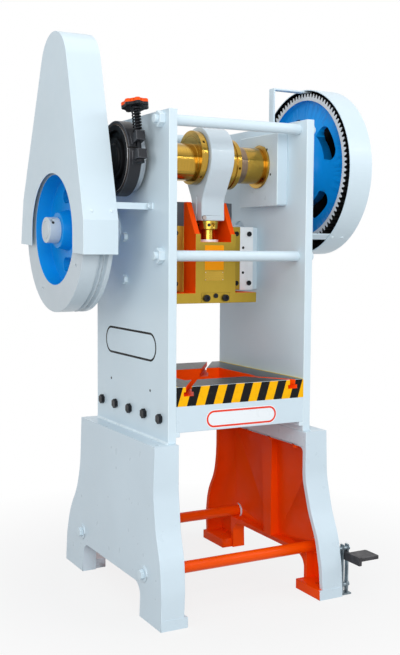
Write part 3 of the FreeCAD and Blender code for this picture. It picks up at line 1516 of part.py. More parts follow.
def shank_clamp():
    """The front half of the tool shank's seat, set flush in the flange."""
    body = new_body("shank_clamp")
    side = S.clamp_half - S.clamp_gap
    plan = box_drawing(-side, S.ram_front, side, S.ram_bore_y - S.clamp_gap)
    pad(body, "clamp", "XY_Plane", S.ram_low, S.ram_flange_top, plan)
    pocket(body, "clamp_bore", "XY_Plane", S.ram_low, S.ram_flange_top,
           circle_drawing(S.ram_bore_radius, ZERO, S.ram_bore_y))
    holes = draw_holes([(S.clamp_bolt_x, S.clamp_bolt_z), (-S.clamp_bolt_x, S.clamp_bolt_z)],
                       S.clamp_bolt_radius + S.bolt_slack)
    pocket(body, "clamp_holes", "XZ_Plane", S.ram_front, S.ram_bore_y, holes)


def clamp_bolts():
    places = [((S.clamp_bolt_x * side, S.ram_front, S.clamp_bolt_z), FORWARD) for side in (-1, 1)]
    fastener_group("clamp_bolts", places, head=S.clamp_bolt_head_radius, head_tall=S.clamp_bolt_head,
                   radius=S.clamp_bolt_radius, grip=S.clamp_bolt_grip, hexagon=False)


def ball_cap():
    """The slotted cap that keeps the ball in its seat."""
    body = new_body("ball_cap")

    def plan(sketch):
        for radius in (S.cap_radius, S.screw_radius + S.cap_slot_gap):
            draw_slot(sketch, ZERO, S.crank_y, ZERO, S.crank_y + S.crank_throw, radius)

    pad(body, "cap", "XY_Plane", S.nose_floor, S.nose_floor + S.cap_tall, plan)


# ---------------------------------------------------------------- gears


def tooth_gap(teeth, flank_points=4):
    """The space between two teeth as (radius, half angle) pairs, from the involute."""
    module = float(S.gear_module)
    pitch = module * teeth / 2
    base = pitch * math.cos(math.radians(PRESSURE_ANGLE))
    outside = pitch + module
    floor = pitch - module * DEDENDUM
    tooth = math.pi / (2 * teeth) - float(S.tooth_slack) / 4 / pitch
    start = math.tan(math.radians(PRESSURE_ANGLE)) - math.radians(PRESSURE_ANGLE)
    lowest = max(base, floor)
    pairs = []
    for step in range(flank_points):
        radius = lowest + (outside - lowest) * step / (flank_points - 1)
        turned = math.acos(min(1.0, base / radius))
        half = tooth + start - (math.tan(turned) - turned)
        pairs.append((radius, math.pi / teeth - half))
    if floor < base:
        pairs.insert(0, (floor, pairs[0][1] * ROOT_SHARE))
    past = outside + module * HALF
    pairs.append((past, pairs[-1][1] * 2 - pairs[-2][1]))
    return pairs


def cut_teeth(body, name, low, high, teeth, facing):
    """One tooth gap centred on facing, then copied round the gear."""
    count = int(round(float(teeth)))
    pairs = tooth_gap(count)
    corners = []
    for side, run in ((-1, pairs), (1, pairs[::-1])):
        for radius, half in run:
            angle = math.radians(facing) + side * half
            corners.append((Size(radius * math.cos(angle)), Size(radius * math.sin(angle))))
    gap = pocket(body, name + "_gap", "YZ_Plane", low, high, loop_drawing(corners))
    polar(body, name + "_teeth", gap, teeth)


def kidney_holes(body, name, low, high, circle, half, spread, first):
    """Four openings round the web."""
    def draw(sketch):
        for step in range(WEB_HOLES):
            draw_kidney(sketch, circle, half, spread, float(first) + FULL_TURN / WEB_HOLES * step)
    pocket(body, name, "YZ_Plane", low, high, draw)


def drive_gear():
    """The large gear: a toothed rim, a dished web with four openings and a domed hub."""
    body = new_body("drive_gear", crank_line)
    tip = S.gear_module * S.gear_teeth / 2 + S.gear_module - S.tip_relief
    bore = S.gear_bush_radius + S.seat_gap
    dome = (S.gear_web_left - S.gear_hub_left) / 3
    swell = (S.gear_dome_radius - S.gear_hub_radius) / 2
    hub_right = S.crank_right_end - S.hub_play
    turn(body, "gear_blank", [
        (S.gear_hub_left, bore), (hub_right, bore), (hub_right, S.gear_hub_radius),
        (S.gear_web_right, S.gear_dome_radius), (S.gear_web_right - S.gear_dish, S.gear_hole_circle),
        (S.gear_web_right, S.gear_rim_in), (S.gear_right, S.gear_rim_in), (S.gear_right, tip),
        (S.gear_left, tip), (S.gear_left, S.gear_rim_in), (S.gear_web_left, S.gear_rim_in),
        (S.gear_web_left - S.gear_dish, S.gear_hole_circle),
        (S.gear_web_left - dome, S.gear_dome_radius),
        (S.gear_hub_left + dome, S.gear_dome_radius - swell),
        (S.gear_hub_left, S.gear_hub_radius)])
    kidney_holes(body, "gear_openings", S.gear_left, S.gear_right, S.gear_hole_circle, S.gear_hole_half,
                 S.gear_hole_spread, S.gear_hole_angle)
    cut_teeth(body, "gear", S.gear_left, S.gear_right, S.gear_teeth, mesh_angle)


def gear_bush():
    body = new_body("gear_bush", crank_line)
    turn(body, "bush_ring", ring_profile(S.gear_hub_left, S.crank_right_end - S.hub_play,
                                         S.crank_end_radius + S.running_gap, S.gear_bush_radius))


def pinion():
    """The small gear on the back shaft, with a tooth towards the large gear's centre."""
    body = new_body("pinion", shaft_line)
    tip = S.gear_module * S.pinion_teeth / 2 + S.gear_module - S.tip_relief
    bore = S.shaft_step_radius + S.seat_gap
    turn(body, "pinion_blank", ring_profile(S.pinion_left, S.pinion_right, bore, tip))
    keyway(body, "pinion_keyway", S.pinion_left, S.pinion_right, S.shaft_step_radius)
    half_pitch = FULL_TURN / 2 / float(S.pinion_teeth)
    cut_teeth(body, "pinion", S.pinion_left, S.pinion_right, S.pinion_teeth,
              mesh_angle + FULL_TURN / 2 + half_pitch)


def back_shaft():
    """The fast shaft across the back, stepped for the pinion, with its two keys."""
    body = new_body("back_shaft", shaft_line)
    chamfer = S.shaft_chamfer
    turn(body, "shaft", [
        (S.shaft_left, ZERO), (S.shaft_left, S.shaft_radius - chamfer),
        (S.shaft_left + chamfer, S.shaft_radius),
        (S.shaft_step, S.shaft_radius), (S.shaft_step, S.shaft_step_radius),
        (S.shaft_right - chamfer, S.shaft_step_radius), (S.shaft_right, S.shaft_step_radius - chamfer),
        (S.shaft_right, ZERO)])
    half = S.key_wide / 2
    for name, low, high, radius in (("wheel_key", S.wheel_hub_out, S.wheel_hub_in, S.shaft_radius),
                                    ("pinion_key", S.pinion_left, S.pinion_right, S.shaft_step_radius)):
        floor = radius - S.key_tall / 2
        pad(body, name, "YZ_Plane", low, high, box_drawing(-half, floor, half, floor + S.key_tall))


def flywheel():
    """The flywheel: a heavy rim with two belt grooves, a dished web with openings and a hub."""
    body = new_body("flywheel", shaft_line)
    bore = S.shaft_radius + S.seat_gap
    profile = [(S.wheel_in, S.wheel_radius), (S.wheel_in, S.wheel_recess + S.wheel_fillet_run),
               (S.wheel_web_in, S.wheel_recess), (S.wheel_web_in, S.wheel_hub_radius + S.wheel_fillet_run),
               (S.wheel_hub_in, S.wheel_hub_radius), (S.wheel_hub_in, bore), (S.wheel_hub_out, bore),
               (S.wheel_hub_out, S.wheel_hub_radius),
               (S.wheel_web_out, S.wheel_hub_radius + S.wheel_fillet_run),
               (S.wheel_web_out, S.wheel_recess - S.wheel_fillet_run), (S.wheel_out, S.wheel_recess),
               (S.wheel_out, S.wheel_radius)]
    floor = S.wheel_radius - S.groove_deep
    for step in range(BELT_GROOVES):
        middle = S.wheel_out + S.groove_first + S.groove_pitch * step
        profile += [(middle - S.groove_wide / 2, S.wheel_radius), (middle - S.groove_bottom / 2, floor),
                    (middle + S.groove_bottom / 2, floor), (middle + S.groove_wide / 2, S.wheel_radius)]
    turn(body, "wheel", profile)
    kidney_holes(body, "wheel_openings", S.wheel_out, S.wheel_in, S.wheel_hole_circle, S.wheel_hole_half,
                 S.wheel_hole_spread, S.wheel_hole_angle)
    places = circle_places((ZERO, ZERO), S.rim_hole_circle, WEB_HOLES, float(S.rim_hole_angle))
    pocket(body, "rim_holes", "YZ_Plane", S.wheel_out, S.wheel_out + S.rim_hole_deep,
           draw_holes(places, S.rim_hole_radius))
    keyway(body, "wheel_keyway", S.wheel_hub_out, S.wheel_hub_in, S.shaft_radius)


def flywheel_collar():
    """The ring with a set screw hole that holds the flywheel on the shaft."""
    body = new_body("flywheel_collar", shaft_line, S.hub_collar_turn)
    left = S.shaft_left + S.collar_inset
    bore = S.shaft_radius + S.seat_gap
    turn(body, "wheel_collar", ring_profile(left, S.wheel_hub_out, bore, S.hub_collar_radius))
    pocket(body, "set_screw_hole", "XY_Plane", bore, S.hub_collar_radius,
           circle_drawing(S.hub_collar_hole_radius, S.hub_collar_hole_x, ZERO))


# ---------------------------------------------------------------- guards


def guard_drawing(inset, drop):
    """The side view of the belt guard: a round top with straight, creased edges below it."""
    crease = (S.guard_crease_y + inset, S.guard_crease)
    rear_crease = (S.guard_rear_crease_y - inset, S.guard_rear_crease)
    radius = S.guard_top_radius - inset

    def touch(point, side):
        """The angle at which a straight edge from point touches the round top."""
        across = float(point[0]) - float(S.guard_top_y)
        along = float(point[1]) - float(S.guard_top_z)
        return math.atan2(along, across) + side * math.acos(float(radius) / math.hypot(across, along))

    def draw(sketch):
        centre = Vector(float(S.guard_top_y), float(S.guard_top_z), 0)
        begin = touch(rear_crease, 1)
        finish = touch(crease, -1) + 2 * math.pi
        top = Part.ArcOfCircle(Part.Circle(centre, UP, float(radius)), begin, finish)
        arc = sketch.addGeometry(top, False)
        pin_point(sketch, arc, MIDDLE, S.guard_top_y, S.guard_top_z)
        set_dimension(sketch, "Radius", radius, arc)
        corners = [crease, (S.guard_front_low_y + inset, S.guard_front_low - drop),
                   (S.guard_rear_low_y - inset, S.guard_rear_low - drop), rear_crease]
        places = [sketch.getPoint(arc, END)]
        places += [Vector(float(across), float(along), 0) for across, along in corners]
        places.append(sketch.getPoint(arc, START))
        lines = [sketch.addGeometry(Part.LineSegment(one, two), False)
                 for one, two in zip(places, places[1:])]
        for line, following in zip(lines, lines[1:]):
            sketch.addConstraint(Sketcher.Constraint("Coincident", line, END, following, START))
        for line, (across, along) in zip(lines, corners):
            pin_point(sketch, line, END, across, along)
        sketch.addConstraint(Sketcher.Constraint("Tangent", arc, END, lines[0], START))
        sketch.addConstraint(Sketcher.Constraint("Tangent", lines[-1], END, arc, START))
    return draw


def belt_guard():
    """Folded sheet over the flywheel: a face with an arch and a band round its edge."""
    body = new_body("belt_guard")
    pad(body, "guard_block", "YZ_Plane", S.guard_out, S.guard_in, guard_drawing(ZERO, ZERO))
    pocket(body, "guard_inside", "YZ_Plane", S.guard_out + S.sheet_thick, S.guard_in,
           guard_drawing(S.sheet_thick, S.guard_arch_radius))

    def arch(sketch):
        draw_slot(sketch, S.guard_arch_y, S.guard_arch_z, S.guard_arch_y,
                  S.guard_arch_z - S.guard_arch_radius, S.guard_arch_radius)

    pocket(body, "guard_arch", "YZ_Plane", S.guard_out, S.guard_out + S.sheet_thick, arch)


def belt_guard_strap():
    """A flat bar that lies along the guard's front band and turns down flat on the plate."""
    body = new_body("belt_guard_strap")
    low = S.guard_strap_low
    high = low + S.guard_strap_tall
    crease = (S.guard_crease_y + S.sheet_thick, S.guard_crease)
    slope = guard_slope()
    front_low = crease[0] + (low - crease[1]) * slope + S.strap_rest
    front_high = crease[0] + (high - crease[1]) * slope + S.strap_rest
    bar = [(front_low, low), (front_low + S.strap_thick, low), (front_high + S.strap_thick, high),
           (front_high, high)]
    pad(body, "guard_bar", "YZ_Plane", S.guard_out + S.guard_strap_reach / 2, -plate_out, loop_drawing(bar))
    tab = box_drawing(S.guard_strap_tab_front, low, S.guard_strap_tab_rear, high)
    pad(body, "guard_tab", "YZ_Plane", -plate_out - S.strap_thick, -plate_out, tab)
    pocket(body, "guard_tab_hole", "YZ_Plane", -plate_out - S.strap_thick, -plate_out,
           draw_holes([guard_strap_place], S.small_bolt_radius + S.bolt_slack))


def guard_slope():
    """How much the guard's front band runs back for each millimetre up, above its crease."""
    across = float(S.guard_crease_y) - float(S.guard_top_y)
    along = float(S.guard_crease) - float(S.guard_top_z)
    reach = math.hypot(across, along)
    angle = math.atan2(along, across) - math.acos(float(S.guard_top_radius) / reach)
    return Size(math.tan(math.pi - angle))


def gear_guard():
    """A drum of sheet round the gear, closed on its outer side, with a gap for the pinion."""
    body = new_body("gear_guard", guard_line)
    turn(body, "guard_drum", [
        (S.gear_guard_in, sheet_radius), (S.gear_guard_in, S.gear_guard_radius),
        (S.gear_guard_out, S.gear_guard_radius), (S.gear_guard_out, ZERO),
        (S.gear_guard_out - S.sheet_thick, ZERO), (S.gear_guard_out - S.sheet_thick, sheet_radius)])
    pocket(body, "pinion_notch", "YZ_Plane", S.gear_guard_in, S.gear_guard_out - S.sheet_thick,
           circle_drawing(S.gear_guard_notch, shaft_back, shaft_z - S.gear_guard_z))


def gear_guard_upper_strap():
    """A bent bar from the right plate's top edge to the inside of the guard's rim."""
    body = new_body("gear_guard_upper_strap")
    thick = S.upper_strap_thick
    inner = S.upper_strap_x + thick
    outline = [(half_clear, S.plate_head), (inner, S.plate_head), (inner, upper_strap_top - thick),
               (S.upper_strap_end, upper_strap_top - thick), (S.upper_strap_end, upper_strap_top),
               (S.upper_strap_x, upper_strap_top), (S.upper_strap_x, S.plate_head + thick),
               (half_clear, S.plate_head + thick)]
    pad(body, "upper_strap", "XZ_Plane", S.upper_strap_front, S.upper_strap_rear, loop_drawing(outline))


def gear_guard_lower_strap():
    """A bent bar from the right plate's face to the inside of the guard's rim."""
    body = new_body("gear_guard_lower_strap", guard_line, S.lower_strap_angle, back=True)
    half = S.lower_strap_half
    bar = box_drawing(-half, -lower_strap_reach, half, S.strap_thick - lower_strap_reach)
    pad(body, "lower_bar", "YZ_Plane", plate_out, S.lower_strap_end, bar)
    tab = box_drawing(-half, -lower_strap_reach, half, S.lower_strap_tab - lower_strap_reach)
    pad(body, "lower_tab", "YZ_Plane", plate_out, plate_out + S.strap_thick, tab)
    pocket(body, "lower_tab_hole", "YZ_Plane", plate_out, plate_out + S.strap_thick,
           circle_drawing(S.small_bolt_radius + S.bolt_slack, ZERO, -lower_strap_bolt))


# ---------------------------------------------------------------- brake


def brake_shoe(name, upper):
    """A half ring with a lug for the bolt in front and an eye for the anchor behind."""
    body = new_body(name, crank_line, S.brake_tilt, back=True)

    def ring(sketch):
        draw_circle(sketch, ZERO, ZERO, S.shoe_radius)
        draw_circle(sketch, ZERO, ZERO, shoe_bore)

    def across(low, left, high, right):
        return (left, low, right, high) if upper else (left, -as_size(high), right, -as_size(low))

    pad(body, name + "_ring", "YZ_Plane", S.shoe_out, S.shoe_in, ring)
    away = across(-S.shoe_radius - S.shoe_split, -S.shoe_radius - S.shoe_split, S.shoe_split / 2,
                  S.shoe_radius + S.shoe_split)
    pocket(body, name + "_parting", "YZ_Plane", S.shoe_out, S.shoe_in, box_drawing(*away))
    lug = across(S.lug_near, S.lug_front, S.lug_far, S.lug_root)
    pad(body, name + "_lug", "YZ_Plane", S.lug_out, S.shoe_in, box_drawing(*lug))
    eye_low = S.shoe_out if upper else (S.shoe_out + S.shoe_in) / 2 + S.eye_gap
    eye_high = (S.shoe_out + S.shoe_in) / 2 - S.eye_gap if upper else S.shoe_in
    arm = across(S.shoe_split / 2, S.anchor_arm_root, S.anchor_eye_radius, S.anchor_pin_y)
    pad(body, name + "_arm", "YZ_Plane", eye_low, eye_high, box_drawing(*arm))
    pad(body, name + "_eye", "YZ_Plane", eye_low, eye_high,
        circle_drawing(S.anchor_eye_radius, S.anchor_pin_y, ZERO))
    pocket(body, name + "_eye_hole", "YZ_Plane", S.shoe_out, S.shoe_in,
           circle_drawing(S.anchor_pin_radius + S.seat_gap, S.anchor_pin_y, ZERO))
    sign = 1 if upper else -1
    low, high = side_levels(sign, ZERO, S.lug_far)
    pocket(body, name + "_bolt_hole", "XY_Plane", low, high,
           circle_drawing(S.brake_bolt_radius + S.bolt_slack, brake_bolt_x, S.brake_bolt_y))
    low, high = side_levels(sign, S.lug_far, S.shoe_radius)
    pocket(body, name + "_spot_face", "XY_Plane", low, high,
           circle_drawing(S.spot_face_radius, brake_bolt_x, S.brake_bolt_y))


def brake_linings():
    """Two half rings of lining between the shoes and the drum."""
    halves = []
    for name, sign in (("upper_lining", 1), ("lower_lining", -1)):
        body = new_body(name, crank_line, S.brake_tilt, back=True, listed=False)

        def ring(sketch):
            draw_circle(sketch, ZERO, ZERO, shoe_bore - S.seat_gap)
            draw_circle(sketch, ZERO, ZERO, lining_radius)

        pad(body, name + "_ring", "YZ_Plane", S.shoe_out, S.shoe_in, ring)
        reach = S.shoe_radius
        low, high = side_levels(-sign, -S.shoe_split / 2, reach)
        pocket(body, name + "_parting", "YZ_Plane", S.shoe_out, S.shoe_in,
               box_drawing(-reach, low, reach, high))
        halves.append(body)
    group("brake_linings", halves)


def turned_stud(name, place, profile, angle=None):
    """A turned pin that stands out from the frame along X."""
    body = new_body(name, (ZERO, place[0], place[1]), angle, listed=False)
    turn(body, name + "_turning", profile)
    return body


def brake_anchor():
    """The stud on the left plate that both shoes hang on."""
    body = new_body("brake_anchor", (ZERO, anchor_place[0], anchor_place[1]))
    flange = -plate_out - S.anchor_plate_thick
    shoulder = S.shoe_in + S.eye_gap
    end = S.shoe_out - S.anchor_pin_over
    turn(body, "anchor", [
        (S.stud_bite - plate_out, ZERO), (S.stud_bite - plate_out, S.stud_radius),
        (-plate_out, S.stud_radius), (-plate_out, S.anchor_plate_half),
        (flange, S.anchor_plate_half), (flange, S.anchor_shoulder),
        (shoulder, S.anchor_shoulder), (shoulder, S.anchor_pin_radius), (end, S.anchor_pin_radius),
        (end, ZERO)])


def brake_line():
    """The foot of the brake bolt's own axis."""
    place = brake_place(S.brake_bolt_y, ZERO)
    return (brake_bolt_x, place[0], place[1])


def brake_bolt():
    """The long bolt through both lugs, the spring and the knob."""
    body = new_body("brake_bolt", brake_line(), S.brake_tilt, back=True)
    top = S.spring_high + S.knob_tall + S.bolt_over
    pad(body, "bolt_shank", "XY_Plane", -S.lug_far, top, circle_drawing(S.brake_bolt_radius))
    corner = S.brake_bolt_flats / FLATS_TO_CORNER
    places = circle_places((ZERO, ZERO), corner, HEXAGON, 0.0)
    pad(body, "bolt_head", "XY_Plane", -S.lug_far - S.brake_bolt_head, -S.lug_far, loop_drawing(places))


def brake_knob():
    """The star knob that sets the spring."""
    body = new_body("brake_knob", brake_line(), S.brake_tilt, back=True)
    low = S.spring_high + S.knob_neck
    high = S.spring_high + S.knob_tall
    pad(body, "knob_disc", "XY_Plane", low, high, circle_drawing(S.knob_waist))
    pad(body, "knob_hub", "XY_Plane", S.spring_high, low, circle_drawing(S.knob_hub_radius))
    finger = pad(body, "knob_finger", "XY_Plane", low, high,
                 circle_drawing(S.knob_finger, S.knob_radius - S.knob_finger, ZERO))
    polar(body, "knob_fingers", finger, S.knob_lobes, axis="Z_Axis")
    pocket(body, "knob_bore", "XY_Plane", S.spring_high, high,
           circle_drawing(S.brake_bolt_radius + S.seat_gap))


def coil_point(turns, low, rise):
    radius = float(S.spring_mean_radius)
    angle = 2 * math.pi * turns
    return Vector(radius * math.cos(angle), radius * math.sin(angle), low + rise * turns)


def coil_heading(turns, rise):
    radius = float(S.spring_mean_radius)
    angle = 2 * math.pi * turns
    heading = Vector(-radius * math.sin(angle), radius * math.cos(angle), rise / (2 * math.pi))
    return heading.normalize()


def biarc(start, start_heading, end, end_heading):
    """Two arcs that leave start and reach end along the given headings."""
    gap = end - start
    both = start_heading + end_heading
    straight = 2 * (1 - start_heading.dot(end_heading))
    run = (-gap.dot(both) + math.sqrt(gap.dot(both) ** 2 + straight * gap.dot(gap))) / straight
    first = start + start_heading * run
    second = end - end_heading * run
    join = (first + second) * HALF
    arcs = []
    for begin, corner, finish in ((start, first, join), (join, second, end)):
        middle = (begin + finish) * HALF
        half = math.atan2((corner - middle).Length, (finish - begin).Length * HALF)
        share = math.tan(half * HALF) / math.tan(half)
        arcs.append(Part.Arc(begin, middle + (corner - middle) * share, finish).toShape())
    return arcs


def brake_spring():
    """One unbroken wire, wound at a steady pitch between the upper lug and the knob."""
    wire = float(S.wire_radius)
    low = float(S.spring_low) + float(S.spring_rest) + wire
    tall = float(S.spring_high) - float(S.spring_rest) - wire - low
    turns = float(S.spring_turns)
    rise = tall / turns
    steps = int(round(turns * HALF_TURNS))
    edges = []
    for step in range(steps):
        here = turns * step / steps
        there = turns * (step + 1) / steps
        edges += biarc(coil_point(here, low, rise), coil_heading(here, rise),
                       coil_point(there, low, rise), coil_heading(there, rise))
    section = Part.Wire([Part.Circle(coil_point(0, low, rise), coil_heading(0, rise), wire).toShape()])
    solid = Part.Wire(edges).makePipeShell([section], True, False)
    spring = doc.addObject("Part::Feature", "brake_spring")
    spring.Label = "brake_spring"
    spring.Shape = solid
    base = Vector(*[float(place) for place in brake_line()])
    spring.Placement = FreeCAD.Placement(base, FreeCAD.Rotation(-SPINDLE, float(S.brake_tilt)))
    SUBPARTS.append(spring)
    points = [point for edge in edges for point in edge.discretize(COIL_SAMPLES)]
    per_turn = len(points) / turns
    nearest = min(points[one].distanceToPoint(points[two])
                  for one in range(0, len(points))
                  for two in range(one + int(per_turn * HALF), len(points)))
    print("brake_spring: least gap to itself", round(nearest - 2 * wire, 2), "mm")


# ---------------------------------------------------------------- pedal and trip


def pedal():
    """The treadle: a flat lever with a pad in front, an eye behind and the trip rod's pin."""
    body = new_body("pedal")
    middle = (S.lever_low + S.lever_high) / 2
    pad(body, "lever", "YZ_Plane", S.lever_in, S.lever_out,
        box_drawing(S.lever_front, S.lever_low, S.pedal_pivot_y, S.lever_high))
    pad(body, "lever_eye", "YZ_Plane", S.lever_in, S.lever_out,
        circle_drawing(S.pedal_eye_radius, S.pedal_pivot_y, middle))
    pocket(body, "lever_bore", "YZ_Plane", S.lever_in, S.lever_out,
           circle_drawing(S.pedal_pivot_radius + S.running_gap, S.pedal_pivot_y, middle))

    def plan(sketch):
        draw_round_box(sketch, S.lever_in, S.lever_front, S.pad_out, S.pad_rear, S.pad_corner)

    pad(body, "pedal_pad", "XY_Plane", S.pad_low, S.pad_high, plan)
    pad(body, "trip_pin", "YZ_Plane", S.trip_x - S.trip_radius - S.trip_pin_over, S.lever_in,
        circle_drawing(S.trip_pin_radius, S.trip_y, middle))


def pedal_guide():
    """Two upright bars either side of the lever, their two cross pins and a foot."""
    body = new_body("pedal_guide")
    inner_right = S.lever_in - S.guide_gap
    outer_left = S.lever_out + S.guide_gap

    def bars(sketch):
        low = S.guide_y - S.guide_half
        high = S.guide_y + S.guide_half
        draw_box(sketch, inner_right - S.guide_bar, low, inner_right, high)
        draw_box(sketch, outer_left, low, outer_left + S.guide_bar, high)

    foot = box_drawing(inner_right - S.guide_bar, S.guide_y - S.guide_foot_half, S.guide_foot_out,
                       S.guide_y + S.guide_foot_half)
    pad(body, "guide_foot", "XY_Plane", ZERO, S.guide_foot_tall, foot)
    pad(body, "guide_bars", "XY_Plane", S.guide_foot_tall / 2, S.guide_tall, bars)
    for name, level in (("upper_pin", S.guide_pin_high), ("lower_pin", S.guide_pin_low)):
        pad(body, name, "YZ_Plane", leg_face(level - S.guide_pin_radius) + S.pin_rest,
            outer_left + S.guide_bar * 2, circle_drawing(S.guide_pin_radius, S.guide_y, level))


def trip_rod():
    """The upright rod from the lever to the latch, with a slotted eye at each end."""
    body = new_body("trip_rod")
    low = (S.lever_low + S.lever_high) / 2
    left = S.trip_x - S.trip_radius
    right = S.trip_x + S.trip_radius
    pad(body, "rod", "XY_Plane", low, S.latch_z, circle_drawing(S.trip_radius, S.trip_x, S.trip_y))
    places = [(S.trip_y, low), (S.trip_y, S.latch_z)]
    pad(body, "rod_eyes", "YZ_Plane", left, right, draw_holes(places, S.trip_eye_radius))

    def slots(sketch):
        for across, along in places:
            draw_slot(sketch, across - S.trip_slot_run, along, across + S.trip_slot_run, along,
                      S.trip_pin_radius + S.trip_pin_gap)

    pocket(body, "rod_slots", "YZ_Plane", left, right, slots)


def trip_rod_guide():
    """An arm on the right plate with a hole that keeps the trip rod upright."""
    body = new_body("trip_rod_guide")
    low = S.trip_guide_z - S.trip_guide_half
    high = S.trip_guide_z + S.trip_guide_half
    arm = box_drawing(plate_out, S.trip_y - S.trip_guide_half, S.trip_x + S.trip_guide_half,
                      S.trip_y + S.trip_guide_half)
    pad(body, "guide_arm", "XY_Plane", low, high, arm)
    reach = S.trip_guide_bolt + S.trip_guide_half
    foot = box_drawing(S.trip_y - reach, low, S.trip_y + reach, high)
    pad(body, "guide_plate", "YZ_Plane", plate_out, plate_out + S.trip_guide_foot, foot)
    pocket(body, "guide_plate_holes", "YZ_Plane", plate_out, plate_out + S.trip_guide_foot,
           draw_holes(trip_guide_places, S.small_bolt_radius + S.bolt_slack))
    pocket(body, "guide_hole", "XY_Plane", low, high,
           circle_drawing(S.trip_radius + S.running_gap, S.trip_x, S.trip_y))


def trip_latch():
    """The lever that the trip rod pulls, with a nose under the clutch ring."""
    body = new_body("trip_latch")
    half = S.latch_half
    low, high = S.latch_in, S.latch_out
    pad(body, "latch_arm", "YZ_Plane", low, high,
        box_drawing(S.latch_pivot_y, S.latch_z - half, S.trip_y, S.latch_z + half))
    pad(body, "latch_eye", "YZ_Plane", low, high,
        circle_drawing(S.latch_eye_radius, S.latch_pivot_y, S.latch_z))
    pad(body, "latch_end", "YZ_Plane", low, high, circle_drawing(S.trip_eye_radius, S.trip_y, S.latch_z))
    pad(body, "latch_nose", "YZ_Plane", low, high,
        box_drawing(S.latch_nose_y - S.latch_nose_half * 2, S.latch_z, S.latch_nose_y, nose_top))
    pocket(body, "latch_bore", "YZ_Plane", low, high,
           circle_drawing(S.latch_pin_radius + S.running_gap, S.latch_pivot_y, S.latch_z))
    pad(body, "latch_pin", "YZ_Plane", high, S.trip_x + S.trip_radius + S.trip_pin_over,
        circle_drawing(S.trip_pin_radius, S.trip_y, S.latch_z))


def pivot_studs():
    """The turned studs on which the pedal and the latch swing."""
    middle = (S.lever_low + S.lever_high) / 2
    seat = leg_face(middle - S.stud_shoulder) + S.pin_rest
    pedal_head = S.lever_out + S.stud_play
    pedal_stud = [(seat, ZERO), (seat, S.stud_shoulder), (S.lever_in - S.stud_play, S.stud_shoulder),
                  (S.lever_in - S.stud_play, S.pedal_pivot_radius), (pedal_head, S.pedal_pivot_radius),
                  (pedal_head, S.stud_shoulder), (pedal_head + S.stud_head, S.stud_shoulder),
                  (pedal_head + S.stud_head, ZERO)]
    latch_head = S.latch_out + S.stud_play
    bite = plate_out - S.stud_bite
    latch_stud = [(bite, ZERO), (bite, S.stud_radius), (plate_out, S.stud_radius),
                  (plate_out, S.latch_shoulder), (S.latch_in - S.stud_play, S.latch_shoulder),
                  (S.latch_in - S.stud_play, S.latch_pin_radius), (latch_head, S.latch_pin_radius),
                  (latch_head, S.latch_shoulder), (latch_head + S.stud_head, S.latch_shoulder),
                  (latch_head + S.stud_head, ZERO)]
    group("pivot_studs", [
        turned_stud("pedal_stud", (S.pedal_pivot_y, middle), pedal_stud),
        turned_stud("latch_stud", (S.latch_pivot_y, S.latch_z), latch_stud)])


# ---------------------------------------------------------------- the machine

for side, sign in SIDES:
    side_plate(side, sign)
bed()
mirror_of(right_leg(), "left_leg")
tie_rods()
leg_tie_rods()
frame_bolts()
small_bolts()
mirror_of(bearing_block(), "left_bearing_block")
mirror_of(main_bush(), "left_main_bush")
mirror_of(shaft_housing(), "left_shaft_housing")
mirror_of(gib_bracket(), "left_gib_bracket")
mirror_of(gib_keeper(), "left_gib_keeper")
gib_bolts()
crankshaft()
crank_rings()
brake_drum()
clutch_sleeve()
gear_retainer()
conrod()
conrod_bush()
ball_screw()
lock_collar()
pinch_bolt()
ram()
shank_clamp()
clamp_bolts()
ball_cap()
drive_gear()
gear_bush()
pinion()
back_shaft()
flywheel()
flywheel_collar()
belt_guard()
belt_guard_strap()
gear_guard()
gear_guard_upper_strap()
gear_guard_lower_strap()
brake_shoe("upper_brake_shoe", True)
brake_shoe("lower_brake_shoe", False)
brake_linings()
brake_anchor()
brake_bolt()
brake_knob()
brake_spring()
pedal()
pedal_guide()
trip_rod()
trip_rod_guide()
trip_latch()
pivot_studs()
doc.recompute()


# ---------------------------------------------------------------- checks and files

problems = []
for thing in doc.Objects:
    if "Invalid" in thing.State or "Error" in thing.State:
        problems.append(thing.Name + " is " + ", ".join(thing.State))
for thing in doc.Objects:
    if thing.TypeId == "PartDesign::Pocket" and not thing.Shape.isNull():
        if thing.Shape.Volume > thing.BaseFeature.Shape.Volume - LEAST_CUT:
            problems.append(thing.Name + " cuts nothing")
for part in SUBPARTS:
    if part.Shape.isNull() or not part.Shape.isValid() or not part.Shape.Solids:
        problems.append(part.Label + " has no valid solid")
if problems:
    raise RuntimeError("; ".join(problems))

os.makedirs("parts", exist_ok=True)
for part in SUBPARTS:
    part.Shape.exportStep(os.path.join("parts", part.Label + ".step"))
print(len(SUBPARTS), "sub-parts written")
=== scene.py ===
"""Looks for a geared, open-throated stamping press: paint, ground and turned metal, screws and guards."""

import json
import math

import bmesh
import bpy
from mathutils import Matrix, Vector
from mathutils.bvhtree import BVHTree


